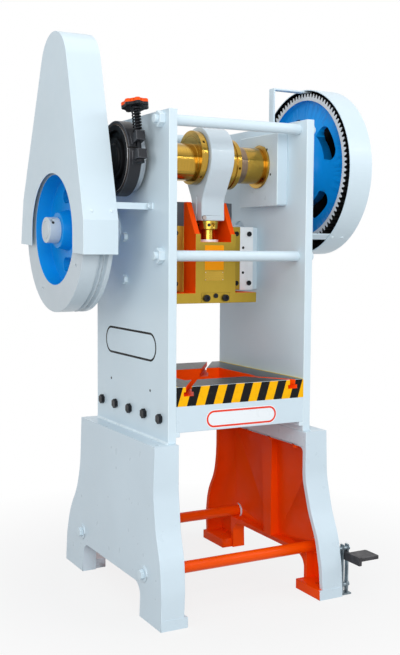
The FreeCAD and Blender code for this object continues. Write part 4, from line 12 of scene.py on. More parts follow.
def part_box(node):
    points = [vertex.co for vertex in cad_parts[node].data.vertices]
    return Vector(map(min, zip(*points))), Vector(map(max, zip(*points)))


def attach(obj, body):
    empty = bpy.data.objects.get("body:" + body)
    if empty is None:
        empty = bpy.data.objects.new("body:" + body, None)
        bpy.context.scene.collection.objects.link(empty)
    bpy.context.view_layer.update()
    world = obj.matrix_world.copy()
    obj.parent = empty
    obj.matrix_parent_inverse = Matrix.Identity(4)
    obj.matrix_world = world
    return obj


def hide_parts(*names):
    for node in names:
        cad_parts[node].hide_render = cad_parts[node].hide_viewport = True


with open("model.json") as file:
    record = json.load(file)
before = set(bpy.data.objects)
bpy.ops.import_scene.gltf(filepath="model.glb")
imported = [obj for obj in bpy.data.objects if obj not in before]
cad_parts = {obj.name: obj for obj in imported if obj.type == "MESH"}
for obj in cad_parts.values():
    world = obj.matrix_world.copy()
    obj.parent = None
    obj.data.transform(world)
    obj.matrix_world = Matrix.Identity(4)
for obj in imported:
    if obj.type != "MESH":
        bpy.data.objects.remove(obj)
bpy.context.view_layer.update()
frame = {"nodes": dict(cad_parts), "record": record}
NODES = frame["nodes"]
BODY_OF = {
    node: body
    for body, members in frame["record"]["behaviour"]["bodies"].items()
    for node in members
}
SLOT_OF = {part["node"]: part["material_slot"] for part in frame["record"]["subparts"]}
JOINTS = {joint["name"]: joint for joint in frame["record"]["behaviour"]["joints"]}
SIDES = ((-1, "left"), (1, "right"))
MM = 0.001  # Places and sizes are in millimetres, but for materials, lights, camera and floor in metres.
NEAR = 1.0  # A face this near to a plane counts as lying on it.
# The part of a face's normal along an axis from which the face looks squarely or mainly along it.
SQUARELY = 0.9
MAINLY = 0.5


def box_of(node):
    """A node's low and high corners, to a thousandth of a millimetre."""
    return [Vector([round(value / MM, 3) for value in corner]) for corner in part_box(node)]


def axis_of(joint):
    """Where a joint's axis along X lies, as its Y and Z."""
    return tuple(value / MM for value in JOINTS[joint]["pos_m"][1:])


def about(place, centre):
    """How far a point is from an axis along X."""
    return math.hypot(place.y - centre[0], place.z - centre[1])


CRANK_CENTRE = axis_of("crank_turn")
SHAFT_CENTRE = axis_of("flywheel_turn")
BED_LOW, BED_HIGH = box_of("bed")
PLATE_LOW, PLATE_HIGH = box_of("left_side_plate")
LEG_LOW, LEG_HIGH = box_of("left_leg")


# ------------------------ colours


def paint_value(code):
    """A linear colour from the screen value of a paint chip."""
    channels = [int(code[place : place + 2], 16) / 255 for place in (0, 2, 4)]
    return [c / 12.92 if c <= 0.04045 else ((c + 0.055) / 1.055) ** 2.4 for c in channels] + [1.0]


# ------------------------ finishes


# A mix node has several sockets of one name, so its colour sockets are told by their places.
MIX_FACTOR = 0
MIX_FIRST_COLOUR = 6
MIX_SECOND_COLOUR = 7
MIX_COLOUR_RESULT = 2


class Graph:
    """A node tree whose nodes are added one at a time."""

    def __init__(self, tree):
        self.tree = tree
        tree.nodes.clear()

    def add(self, kind, **settings):
        node = self.tree.nodes.new(kind)
        for name, value in settings.items():
            setattr(node, name, value)
        return node

    def link(self, source, target):
        self.tree.links.new(source, target)


class Finish(Graph):
    """A material."""

    def __init__(self, name):
        self.material = bpy.data.materials.new(name)
        self.material.use_nodes = True
        super().__init__(self.material.node_tree)
        self.shader = self.add("ShaderNodeBsdfPrincipled")
        self.output = self.add("ShaderNodeOutputMaterial")
        self.join(self.shader, "BSDF", self.output, "Surface")
        self.place = self.add("ShaderNodeTexCoord")

    def join(self, from_node, from_name, to_node, to_name):
        self.link(from_node.outputs[from_name], to_node.inputs[to_name])

    def coordinates(self, stretch):
        """Object coordinates, stretched."""
        mapping = self.add("ShaderNodeMapping")
        mapping.inputs["Scale"].default_value = stretch
        self.join(self.place, "Object", mapping, "Vector")
        return mapping

    def noise(self, scale, detail, stretch=(1.0, 1.0, 1.0)):
        node = self.add("ShaderNodeTexNoise")
        node.inputs["Scale"].default_value = scale
        node.inputs["Detail"].default_value = detail
        self.join(self.coordinates(stretch), "Vector", node, "Vector")
        return node

    def ramp(self, source, output, stops):
        """Colours or greys along a value."""
        node = self.add("ShaderNodeValToRGB")
        while len(node.color_ramp.elements) < len(stops):
            node.color_ramp.elements.new(0.5)
        for element, (position, colour) in zip(node.color_ramp.elements, stops):
            element.position = position
            element.color = colour if isinstance(colour, (list, tuple)) else (colour, colour, colour, 1)
        self.join(source, output, node, "Fac")
        return node

    def mix_base(self, factor, factor_output, first, second):
        """Blends two ramps by a factor into the base colour."""
        node = self.add("ShaderNodeMix", data_type="RGBA")
        self.join(factor, factor_output, node, MIX_FACTOR)
        self.join(first, "Color", node, MIX_FIRST_COLOUR)
        self.join(second, "Color", node, MIX_SECOND_COLOUR)
        self.join(node, MIX_COLOUR_RESULT, self.shader, "Base Color")

    def calculate(self, operation, first, second=None):
        """A number from one or two numbers; each is a value or a (node, output) pair."""
        node = self.add("ShaderNodeMath", operation=operation)
        for socket, value in zip(node.inputs, (first, second)):
            if isinstance(value, tuple):
                self.link(value[0].outputs[value[1]], socket)
            elif value is not None:
                socket.default_value = value
        return node

    def blend(self, first, second, share):
        """Two noises added: the first by its share, the second by the rest."""
        parts = [self.calculate("MULTIPLY", (noise, "Fac"), weight)
                 for noise, weight in ((first, share), (second, 1.0 - share))]
        return self.calculate("ADD", *((part, "Value") for part in parts))

    def bump(self, source, strength, depth):
        """Raises the surface along a noise."""
        node = self.add("ShaderNodeBump")
        node.inputs["Strength"].default_value = strength
        node.inputs["Distance"].default_value = depth
        self.join(source, "Fac", node, "Height")
        self.join(node, "Normal", self.shader, "Normal")

    def vary(self, socket, source, output, stops):
        """Lets a socket of the shader follow a ramp along a value."""
        self.join(self.ramp(source, output, stops), "Color", self.shader, socket)

    def set(self, **values):
        for name, value in values.items():
            self.shader.inputs[name.replace("_", " ")].default_value = value


def tones(code, spread):
    """A darker and a lighter tone of a colour."""
    base = paint_value(code)
    darker = [c * (1 - spread) for c in base[:3]] + [1.0]
    lighter = [min(1.0, c * (1 + spread)) for c in base[:3]] + [1.0]
    return darker, lighter


def paint(name, code, rough=0.34, cast=False, spread=0.05, shine=0.4):
    """Gloss paint with faint clouding; over a casting it keeps the sand's unevenness."""
    finish = Finish(name)
    darker, lighter = tones(code, spread)
    clouds = finish.noise(3.2, 4.0)
    finish.vary("Base Color", clouds, "Fac", [(0.32, darker), (0.68, lighter)])
    sheen = finish.noise(26.0, 2.0)
    finish.vary("Roughness", sheen, "Fac", [(0.3, rough - 0.06), (0.75, rough + 0.09)])
    skin = finish.noise(30.0 if cast else 240.0, 2.0)
    finish.bump(skin, 0.14, 0.0008 if cast else 0.0004)
    finish.set(Metallic=0.0, Specular_IOR_Level=shine, Coat_Weight=shine * 0.3, Coat_Roughness=0.15)
    return finish.material


def turned_metal(name, code, rough, pitch, spread, upright=False):
    """Metal turned about X, or about Z where it stands upright, with tool marks and a faint oil stain."""
    finish = Finish(name)
    darker, lighter = tones(code, spread)
    marks = finish.noise(1.0, 5.0, (0.6, 0.6, pitch) if upright else (pitch, 0.6, 0.6))
    stains = finish.noise(9.0, 4.0)
    wear = finish.blend(marks, stains, 0.6)
    finish.vary("Base Color", wear, "Value", [(0.36, darker), (0.62, lighter)])
    finish.vary("Roughness", wear, "Value", [(0.3, rough + 0.1), (0.7, rough - 0.06)])
    finish.bump(marks, 0.25, 0.0004)
    finish.set(Metallic=1.0, Coat_Weight=0.2, Coat_Roughness=0.2)
    return finish.material


def ground_metal(name, code, rough, spread, across=(1.0, 1.0, 40.0), metallic=1.0):
    """Flat ground or milled metal with straight scratches."""
    finish = Finish(name)
    darker, lighter = tones(code, spread)
    scratches = finish.noise(22.0, 6.0, across)
    blotches = finish.noise(6.0, 3.0)
    wear = finish.blend(scratches, blotches, 0.55)
    finish.vary("Base Color", wear, "Value", [(0.36, darker), (0.64, lighter)])
    finish.vary("Roughness", scratches, "Fac", [(0.3, rough - 0.05), (0.7, rough + 0.12)])
    finish.bump(scratches, 0.2, 0.0004)
    finish.set(Metallic=metallic)
    return finish.material


def black_finish(name, code, rough=0.42, metallic=0.6):
    """Blackened steel with rubbed, slightly lighter patches."""
    finish = Finish(name)
    darker, lighter = tones(code, 0.3)
    rubs = finish.noise(38.0, 5.0)
    finish.vary("Base Color", rubs, "Fac", [(0.4, darker), (0.75, lighter)])
    finish.vary("Roughness", rubs, "Fac", [(0.3, rough + 0.1), (0.8, rough - 0.12)])
    finish.bump(rubs, 0.2, 0.0006)
    finish.set(Metallic=metallic)
    return finish.material


def warning_stripes(name, pitch, slant, first):
    """Slanting black and yellow bands along X, as on the bed's front edge.

    The pitch and the first band's place are in metres, the slant in degrees from upright.
    """
    finish = Finish(name)
    parts = finish.add("ShaderNodeSeparateXYZ")
    finish.join(finish.place, "Object", parts, "Vector")
    shifted = finish.calculate("MULTIPLY", (parts, "Z"), -math.tan(math.radians(slant)))
    along = finish.calculate("ADD", (parts, "X"), (shifted, "Value"))
    moved = finish.calculate("SUBTRACT", (along, "Value"), first)
    turns = finish.calculate("DIVIDE", (moved, "Value"), pitch)
    share = finish.calculate("FRACT", (turns, "Value"))
    yellow = finish.calculate("LESS_THAN", (share, "Value"), 0.5)
    scuffs = finish.noise(60.0, 4.0)
    worn_black = finish.ramp(scuffs, "Fac", [(0.55, paint_value("0d0d0f")), (0.85, paint_value("262523"))])
    worn_yellow = finish.ramp(scuffs, "Fac", [(0.5, paint_value("fdba00")), (0.85, paint_value("e8a702"))])
    finish.mix_base(yellow, "Value", worn_black, worn_yellow)
    finish.vary("Roughness", scuffs, "Fac", [(0.3, 0.38), (0.8, 0.52)])
    finish.bump(scuffs, 0.12, 0.0004)
    finish.set(Specular_IOR_Level=0.15)
    return finish.material


# Where the bed's top begins to be rubbed and where it is rubbed most, along X.
RUBBED_FROM = 0.11
RUBBED_FULLY = 0.22


def bed_top_steel(name):
    """Oily machined steel, rubbed paler towards the right where stock slides off."""
    finish = Finish(name)
    parts = finish.add("ShaderNodeSeparateXYZ")
    finish.join(finish.place, "Object", parts, "Vector")
    share = finish.add("ShaderNodeMapRange")
    share.inputs["From Min"].default_value = RUBBED_FROM
    share.inputs["From Max"].default_value = RUBBED_FULLY
    finish.join(parts, "X", share, "Value")
    scratches = finish.noise(22.0, 6.0, (30.0, 1.0, 1.0))
    oily = finish.ramp(scratches, "Fac", [(0.36, paint_value("1f1e1f")), (0.66, paint_value("333233"))])
    rubbed = finish.ramp(scratches, "Fac", [(0.36, paint_value("5f6163")), (0.66, paint_value("787b7d"))])
    finish.mix_base(share, "Result", oily, rubbed)
    finish.vary("Roughness", scratches, "Fac", [(0.3, 0.34), (0.7, 0.5)])
    finish.bump(scratches, 0.2, 0.0004)
    finish.set(Metallic=0.8)
    return finish.material


PALE = paint("pale_blue_white_paint", "d4e5ee", rough=0.36, spread=0.025)
PALE_CAST = paint("pale_paint_on_casting", "d0e1eb", rough=0.33, cast=True, spread=0.03)
# A lighter pale paint on rounded edges, on the plates' seams and on the rivets' domes, as a painted
# highlight.
PALE_HIGHLIGHT = paint("pale_paint_thin_on_edges", "dfeef5", rough=0.28, spread=0.02)
PALE_GREY = paint("pale_grey_rim_paint", "c9d5dc", rough=0.36, spread=0.04)
ROD_PAINT = paint("glossy_pale_paint_on_forging", "cddae2", rough=0.18, cast=True, spread=0.04)
ORANGE = paint("orange_paint", "f85402", rough=0.32, shine=0.15)
ORANGE_CAST = paint("orange_paint_on_casting", "fb4f02", rough=0.44, cast=True, spread=0.07, shine=0.08)
BLUE_CAST = paint("blue_paint_on_casting", "0895e6", cast=True, shine=0.16)
GUARD_BLACK = paint("black_paint_inside_guard", "0a0a0c", rough=0.6, spread=0.1, shine=0.1)
PINCH_TONE = paint("worn_paint_on_screw_head", "bfb0a8", spread=0.1)
YELLOW_LINE = paint("yellow_line_paint", "dcb90c", rough=0.4, spread=0.08, shine=0.15)
RED_LINE = paint("red_line_paint", "ec4229", rough=0.4, spread=0.04, shine=0.15)
BLACK_LINE = paint("black_line_paint", "08080a", rough=0.45, spread=0.04, shine=0.1)
BADGE_GROUND = paint("white_badge_ground", "eef4f8", rough=0.3, spread=0.015)
PLATE_AMBER = paint("amber_plate_enamel", "f99b00", shine=0.15)
DARK_CAST = paint("dark_grey_paint_on_casting", "2b2c30", rough=0.42, cast=True, spread=0.12, shine=0.25)
# A lighter grey on the brake shoes' rounded edges, as a painted highlight.
DARK_HIGHLIGHT = paint("dark_grey_paint_thin_on_edges", "4a4c51", spread=0.08)
# A near-black paint on the brake drum's face and on the crankshaft's end inside it, as painted shade.
DRUM_PAINTED_SHADE = paint("dark_paint_on_drum_face", "121315", rough=0.55, cast=True, spread=0.1, shine=0.1)
SLATE_CAST = paint("slate_grey_paint_on_casting", "4f555c", rough=0.4, cast=True, spread=0.08, shine=0.25)
GOLD_TURNED = turned_metal("oiled_turned_steel", "b08c37", rough=0.18, pitch=340.0, spread=0.16)
GOLD_TURNED_Z = turned_metal("oiled_turned_steel_upright", "b8973a", rough=0.22, pitch=340.0, spread=0.1,
                             upright=True)
GOLD_WORN = turned_metal("worn_band_on_turned_steel", "85705c", rough=0.3, pitch=340.0, spread=0.1)
GOLD_FLAT = ground_metal("oiled_ground_steel", "ab9038", rough=0.36, spread=0.07, across=(30.0, 30.0, 1.5))
BRONZE = turned_metal("turned_bronze", "b7913f", rough=0.28, pitch=300.0, spread=0.1)
STEEL_TURNED = turned_metal("turned_steel", "b9bcc0", rough=0.28, pitch=300.0, spread=0.08)
STEEL_FLAT = ground_metal("ground_steel", "e9f0f3", rough=0.45, spread=0.03, across=(1.0, 30.0, 1.0),
                          metallic=0.25)
BED_STEEL = bed_top_steel("oiled_bed_steel")
TOOTH_STEEL = ground_metal("cut_tooth_steel", "d6dadc", rough=0.5, spread=0.05, metallic=0.0)
# Near black on the teeth's flanks and lands: grease, and painted shade where the view goes down into the
# gaps.
TOOTH_GREASE_AND_SHADE = black_finish("grease_between_teeth", "0c0c0d", rough=0.6, metallic=0.0)
BLACK_STEEL = black_finish("black_oxide_steel", "1b1d22")
PEDAL_STEEL = black_finish("dark_pedal_steel", "3b3a3d", rough=0.5, metallic=0.3)
GREY_STEEL = black_finish("bare_bar_steel", "8d9ba3", rough=0.38, metallic=0.8)
LINING = black_finish("woven_brake_lining", "4a3c30", rough=0.8, metallic=0.0)
HOLE_DARK = black_finish("shadow_in_small_holes", "151413", rough=0.7, metallic=0.0)
STRIPES = warning_stripes("black_and_yellow_bands", 67.4 * MM, 17.3, 7.8 * MM)


# ------------------------ pieces from the solids


MERGE_WITHIN = 0.002 * MM
FLAT_WITHIN = math.radians(0.12)


def opened(mesh):
    """A mesh as a bmesh."""
    cloth = bmesh.new()
    cloth.from_mesh(mesh)
    return cloth


def closed(cloth, name):
    """A bmesh as a new mesh."""
    mesh = bpy.data.meshes.new(name)
    cloth.to_mesh(mesh)
    cloth.free()
    return mesh


def joined_copy(node, name, cuts=()):
    """One mesh from a node's solids, its loose triangles merged and its faces parted along planes.

    A cut is a place, a normal and, where only some faces are parted, a test of a face.
    """
    cloth = opened(NODES[node].data)
    bmesh.ops.remove_doubles(cloth, verts=cloth.verts, dist=MERGE_WITHIN)
    bmesh.ops.dissolve_limit(cloth, angle_limit=FLAT_WITHIN, verts=cloth.verts, edges=cloth.edges)
    for place, normal, *test in cuts:
        faces = [face for face in cloth.faces if not test or test[0](face)]
        edges = {edge for face in faces for edge in face.edges}
        points = {point for face in faces for point in face.verts}
        bmesh.ops.bisect_plane(cloth, geom=[*points, *edges, *faces], plane_co=Vector(place) * MM,
                               plane_no=normal)
    return closed(cloth, name)


def stand(name, data):
    """A new object in the scene."""
    thing = bpy.data.objects.new(name, data)
    bpy.context.scene.collection.objects.link(thing)
    return thing


def finish_piece(piece, body, slot):
    """Puts a piece on its body; the slot is not used."""
    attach(piece, body)
    return piece


def smooth(mesh, angle=32.0):
    """Shades a mesh smoothly, but for its edges that turn by more than the angle."""
    for face in mesh.polygons:
        face.use_smooth = True
    mesh.set_sharp_from_angle(angle=math.radians(angle))


def weigh_edges(mesh, angle, test):
    """Marks the sharp edges whose middle passes a test, for rounding."""
    cloth = opened(mesh)
    weights = [0.0] * len(cloth.edges)
    for edge in cloth.edges:
        middle = (edge.verts[0].co + edge.verts[1].co) / 2
        if edge.is_manifold and edge.calc_face_angle() > math.radians(angle) and test(middle / MM):
            weights[edge.index] = 1.0
    cloth.free()
    mesh.attributes.new("bevel_weight_edge", "FLOAT", "EDGE").data.foreach_set("value", weights)


def round_edges(piece, width, segments=2, angle=32.0):
    """Rounds a piece's edges that turn by more than the angle."""
    bevel = piece.modifiers.new("rounded_edges", "BEVEL")
    bevel.width = width * MM
    bevel.segments = segments
    bevel.limit_method = "ANGLE"
    bevel.angle_limit = math.radians(angle)
    bevel.use_clamp_overlap = False
    bevel.harden_normals = True
    return bevel


def dress(node, name, finishes, choose=None, edge=None, width=1.5, segments=2, angle=32.0, cuts=(),
          form=None, rounded=None):
    """A finished piece in place of a node.

    choose gives the index of each face's finish, and edge is the rounded edges' own finish. form moves
    the points, and rounded tests which sharp edges are rounded.
    """
    mesh = joined_copy(node, name, cuts)
    if form:
        for vertex in mesh.vertices:
            vertex.co = form(vertex.co / MM) * MM
    for finish in finishes:
        mesh.materials.append(finish)
    if edge:
        mesh.materials.append(edge)
    if choose:
        for face in mesh.polygons:
            corners = [mesh.vertices[index].co / MM for index in face.vertices]
            face.material_index = choose(face.normal, face.center / MM, corners)
    smooth(mesh, angle)
    piece = stand(name, mesh)
    if width:
        bevel = round_edges(piece, width, segments, angle)
        if rounded:
            weigh_edges(mesh, angle, rounded)
            bevel.limit_method = "WEIGHT"
        if edge:
            bevel.material = len(finishes)
    finish_piece(piece, BODY_OF[node], SLOT_OF[node])
    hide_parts(node)


def coat(work, finish, width, *nodes):
    """Pieces of one finish, each named by its node and by how it was worked."""
    for node in nodes:
        dress(node, f"{node}_{work}", [finish], width=width)


# ------------------------ repeated screws, rivets and threads


class Growth(Graph):
    """A geometry tree that sets copies of one form on marked points."""

    def __init__(self, name, *sizes):
        super().__init__(bpy.data.node_groups.new(name, "GeometryNodeTree"))
        for flow in ("INPUT", "OUTPUT"):
            self.tree.interface.new_socket("Geometry", in_out=flow, socket_type="NodeSocketGeometry")
        self.identifiers = {}
        for size, kind in [("Finish", "NodeSocketMaterial")] + [(size, "NodeSocketFloat") for size in sizes]:
            socket = self.tree.interface.new_socket(size, in_out="INPUT", socket_type=kind)
            self.identifiers[size] = socket.identifier
        self.entry = self.add("NodeGroupInput")
        self.exit = self.add("NodeGroupOutput")

    def feed(self, node, **inputs):
        """Sets sockets, each from a value, the name of a size, or a (node, output) pair."""
        for name, value in inputs.items():
            socket = node.inputs[name.replace("_", " ")]
            if isinstance(value, str):
                self.link(self.entry.outputs[value], socket)
            elif isinstance(value, tuple) and len(value) == 2:
                self.link(value[0].outputs[value[1]], socket)
            else:
                socket.default_value = value
        return node

    def form(self, kind, **inputs):
        """Adds a geometry node with its sockets set."""
        return self.feed(self.add("GeometryNode" + kind), **inputs)

    def attribute(self, name):
        """A vector kept on the marked points."""
        node = self.add("GeometryNodeInputNamedAttribute", data_type="FLOAT_VECTOR")
        node.inputs["Name"].default_value = name
        return node, "Attribute"

    def spread(self, form, output):
        """Sets the form on every point, turned to its facing and scaled to its breadth and height."""
        turn = self.add("FunctionNodeAlignRotationToVector", axis="Z")
        self.feed(turn, Vector=self.attribute("facing"))
        copies = self.form("InstanceOnPoints", Points="Geometry", Instance=(form, output),
                           Rotation=(turn, "Rotation"), Scale=self.attribute("measure"))
        real = self.form("RealizeInstances", Geometry=(copies, "Instances"))
        painted = self.form("SetMaterial", Geometry=(real, "Geometry"), Material="Finish")
        self.link(painted.outputs["Geometry"], self.exit.inputs["Geometry"])


def cap_screw_growth():
    """A round head with a six-sided socket; its radius and height are 1 before scaling."""
    growth = Growth("socket_cap_screws", "Socket")
    head = growth.form("MeshCylinder", Vertices=28, Radius=1.0, Depth=1.0)
    lifted = growth.form("Transform", Geometry=(head, "Mesh"), Translation=(0.0, 0.0, 0.5))
    cutter = growth.form("MeshCylinder", Vertices=6, Radius="Socket", Depth=1.0)
    raised = growth.form("Transform", Geometry=(cutter, "Mesh"), Translation=(0.0, 0.0, 0.95))
    cut = growth.add("GeometryNodeMeshBoolean", operation="DIFFERENCE")
    growth.feed(cut, Mesh_1=(lifted, "Geometry"), Mesh_2=(raised, "Geometry"))
    growth.spread(cut, "Mesh")
    return growth


def dome_growth():
    """A low domed head, half sunk in what carries it."""
    growth = Growth("domed_rivets")
    ball = growth.form("MeshUVSphere", Segments=20, Rings=10, Radius=1.0)
    growth.spread(ball, "Mesh")
    return growth


def thread_growth():
    """A cut thread's crest as a fine coil; its radius and length are 1 before scaling."""
    growth = Growth("thread_coils", "Turns", "Crest")
    coil = growth.form("CurveSpiral", Resolution=26, Rotations="Turns", Start_Radius=1.0, End_Radius=1.0,
                       Height=1.0)
    crest = growth.form("CurvePrimitiveCircle", Resolution=4, Radius="Crest")
    tube = growth.form("CurveToMesh", Curve=(coil, "Curve"), Profile_Curve=(crest, "Curve"), Fill_Caps=True)
    growth.spread(tube, "Mesh")
    return growth


def grow(name, growth, marks, body, slot, width=0.0, **sizes):
    """One plain mesh from a growth. Each mark is a place, a facing and a measure."""
    mesh = bpy.data.meshes.new(name + "_marks")
    mesh.from_pydata([tuple(Vector(place) * MM) for place, _, _ in marks], [], [])
    facing = mesh.attributes.new("facing", "FLOAT_VECTOR", "POINT")
    measure = mesh.attributes.new("measure", "FLOAT_VECTOR", "POINT")
    for index, (_, direction, extent) in enumerate(marks):
        facing.data[index].vector = direction
        measure.data[index].vector = Vector(extent) * MM
    seed = stand(name + "_marks", mesh)
    modifier = seed.modifiers.new("growth", "NODES")
    modifier.node_group = growth.tree
    for size, value in sizes.items():
        modifier[growth.identifiers[size]] = value
    evaluated = seed.evaluated_get(bpy.context.evaluated_depsgraph_get())
    plain = bpy.data.meshes.new_from_object(evaluated)
    seed.modifiers.remove(modifier)
    bpy.data.objects.remove(seed)
    plain.name = name
    smooth(plain, 40.0)
    piece = stand(name, plain)
    if width:
        round_edges(piece, width, 2, 40.0)
    return finish_piece(piece, body, slot)


def surface_mark(node, start, towards, measure):
    """The mark where a line meets a node's surface, facing out of it; a measure is radius and height."""
    mesh = NODES[node].data
    skin = BVHTree.FromPolygons([v.co for v in mesh.vertices], [tuple(f.vertices) for f in mesh.polygons])
    place, normal, _, _ = skin.ray_cast(Vector(start) * MM, Vector(towards).normalized())
    if normal.dot(Vector(towards)) > 0:
        normal = -normal
    return tuple(place / MM), tuple(normal), (measure[0], measure[0], measure[1])


CAP_SCREWS = cap_screw_growth()
DOMES = dome_growth()
THREADS = thread_growth()


def set_screws(name, body, marks, finish=BLACK_STEEL, width=0.15, socket=0.6):
    """Small screws with a socket, nearly sunk into what carries them."""
    grow(name, CAP_SCREWS, marks, body, "black_steel", width, Socket=socket, Finish=finish)


# ------------------------ flat shapes


def outline_points(width, height, radius, steps=12):
    """A rectangle with rounded corners, or a pill where the radius is half its height."""
    points = []
    corners = ((1, 1, 0), (-1, 1, 90), (-1, -1, 180), (1, -1, 270))
    for across, up, start in corners:
        centre = (across * (width / 2 - radius), up * (height / 2 - radius))
        for step in range(steps + 1):
            angle = math.radians(start + 90 * step / steps)
            points.append((centre[0] + radius * math.cos(angle), centre[1] + radius * math.sin(angle)))
    return points


# The directions to the right and up of a face that looks forward, left or up.
FORWARD = ((1, 0, 0), (0, 0, 1))
LEFTWARD = ((0, -1, 0), (0, 0, 1))
UPWARD = ((1, 0, 0), (0, 1, 0))
PLATE_SINK = 0.3


def flat_piece(name, body, slot, finish, centre, facing, outer, inner=None, thick=0.5):
    """A thin plate, or a ring where an inner outline is given, laid on a face and sunk a little into it."""
    centre, right, up = Vector(centre), Vector(facing[0]), Vector(facing[1])
    out = right.cross(up)
    cloth = bmesh.new()
    levels = []
    for lift in (-PLATE_SINK, thick):
        loops = []
        for outline in (outer, inner) if inner else (outer,):
            points = [centre + right * u + up * v + out * lift for u, v in outline]
            loops.append([cloth.verts.new(point * MM) for point in points])
        levels.append(loops)
    count = len(outer)
    for index in range(count):
        after = (index + 1) % count
        for low, high in zip(*levels):
            cloth.faces.new((low[index], low[after], high[after], high[index]))
        if inner:
            for loops in levels:
                cloth.faces.new((loops[0][index], loops[0][after], loops[1][after], loops[1][index]))
    if not inner:
        for loops in levels:
            cloth.faces.new(loops[0])
    bmesh.ops.recalc_face_normals(cloth, faces=cloth.faces)
    mesh = closed(cloth, name)
    mesh.materials.append(finish)
    smooth(mesh)
    piece = stand(name, mesh)
    round_edges(piece, 0.12, 1)
    finish_piece(piece, body, slot)


# ------------------------ frame


# How far from the press's middle plane a leg's parts lie: its hollow's rim, its wall and its bolt pads.
RIM_REACH = 275.0
WALL_REACH = 290.0
PAD_REACH = 326.0
HOLLOW_FROM = 276.0
HOLLOW_TO = 339.0
# Where the rim's pale paint ends, below the leg's top and at its back.
RIM_BOTTOM = 525.0
RIM_BACK = 290.0
# Heights of the foot, of the toe and of the top's faces, and where the pads of the tie rods' bolts are.
FOOT_TOP = 35.0
TOE_TOP = 126.0
TOP_FACES = LEG_HIGH.z - 10.0
PAD_LOW = 115.0
PAD_HIGH = 185.0
PAD_FRONT = 240.0
OUTLINE_STRIP = 6.0
# The largest sideways part of the normal of a face on the outline and on a pad.
OUTLINE_TILT = 0.3
PAD_TILT = 0.4
# The leg's outline seen from the side: height, and how far it reaches forward and back.
LEG_OUTLINE = ((0, 407, 440), (112, 404, 438), (212, 387, 412), (302, 349, 346), (400, 321, 321),
               (580, 321, 321))


def leg_finish(side):
    """Pale outside, front, back and on the hollow's rim, orange inside; the left leg's toe is pale too."""
    def choose(normal, place, corners):
        reach = place.x * side
        inward = -normal.x * side
        outside = inward < -MAINLY and reach > WALL_REACH
        top = normal.z > MAINLY and place.z > TOP_FACES
        outline = abs(normal.x) < OUTLINE_TILT and near_outline(place)
        rim = inward > SQUARELY and reach < RIM_REACH and place.z > FOOT_TOP
        rim = rim and (place.z > RIM_BOTTOM or place.y < RIM_BACK)
        pad = reach > PAD_REACH and PAD_LOW < place.z < PAD_HIGH and abs(place.y) > PAD_FRONT
        pad = pad and abs(normal.x) < PAD_TILT
        toe = side < 0 and max(corner.z for corner in corners) < TOE_TOP + NEAR
        return 0 if outside or top or outline or rim or pad or toe else 1
    return choose


def near_outline(place):
    """Whether a point is on the leg's outer outline seen from the side."""
    for (low, front_low, back_low), (high, front_high, back_high) in zip(LEG_OUTLINE, LEG_OUTLINE[1:]):
        if low <= place.z <= high:
            share = (place.z - low) / (high - low)
            near, far = (front_low, front_high) if place.y < 0 else (back_low, back_high)
            return abs(place.y) > near + (far - near) * share - 2 * OUTLINE_STRIP
    return False


def on_rim(face):
    """Whether a leg's face lies on the rim of its hollow."""
    return abs(face.normal.x) > SQUARELY and abs(face.calc_center_median().x) < RIM_REACH * MM


def outside_hollow(middle):
    """Whether an edge of a leg is on its outside or on the rim of its hollow."""
    return not HOLLOW_FROM < abs(middle.x) < HOLLOW_TO


def on_outline(face):
    """Whether a leg's face looks forward, back, up or down."""
    return abs(face.normal.x) < MAINLY


BED_UNDERSIDE = BED_LOW.z + 5.0


def bed_finish(normal, place, corners):
    """Pale in front, behind, at the ends and below, machined on top and orange in the hollows."""
    if abs(normal.y) > SQUARELY and abs(place.y) > BED_HIGH.y - NEAR:
        return 0
    if normal.z > SQUARELY and place.z > BED_HIGH.z - NEAR:
        return 1
    if abs(normal.x) > SQUARELY and abs(place.x) > BED_HIGH.x - NEAR:
        return 0
    if normal.z < -SQUARELY and place.z < BED_UNDERSIDE:
        return 0
    return 2


STRIPES_BOTTOM = 702.0
STRIPES_SKIN = 0.15
STRIPES_TOP_GAP = 1.2


def striped_front():
    """A thin skin of paint over the upper part of the bed's front, cut out at the slots."""
    cloth = opened(joined_copy("bed", "bed_front_source"))
    bmesh.ops.bisect_plane(cloth, geom=cloth.verts[:] + cloth.edges[:] + cloth.faces[:],
                           plane_co=(0, 0, STRIPES_BOTTOM * MM), plane_no=(0, 0, -1), clear_outer=True)
    spare = [face for face in cloth.faces
             if face.normal.y > -SQUARELY or face.calc_center_median().y > (BED_LOW.y + NEAR) * MM]
    bmesh.ops.delete(cloth, geom=spare, context="FACES")
    for vertex in cloth.verts:
        vertex.co.y -= STRIPES_SKIN * MM
        if vertex.co.z > (BED_HIGH.z - NEAR) * MM:
            vertex.co.z -= STRIPES_TOP_GAP * MM
    mesh = closed(cloth, "bed_front_stripes")
    mesh.materials.append(STRIPES)
    finish_piece(stand("bed_front_stripes", mesh), "frame", "stripe_paint")


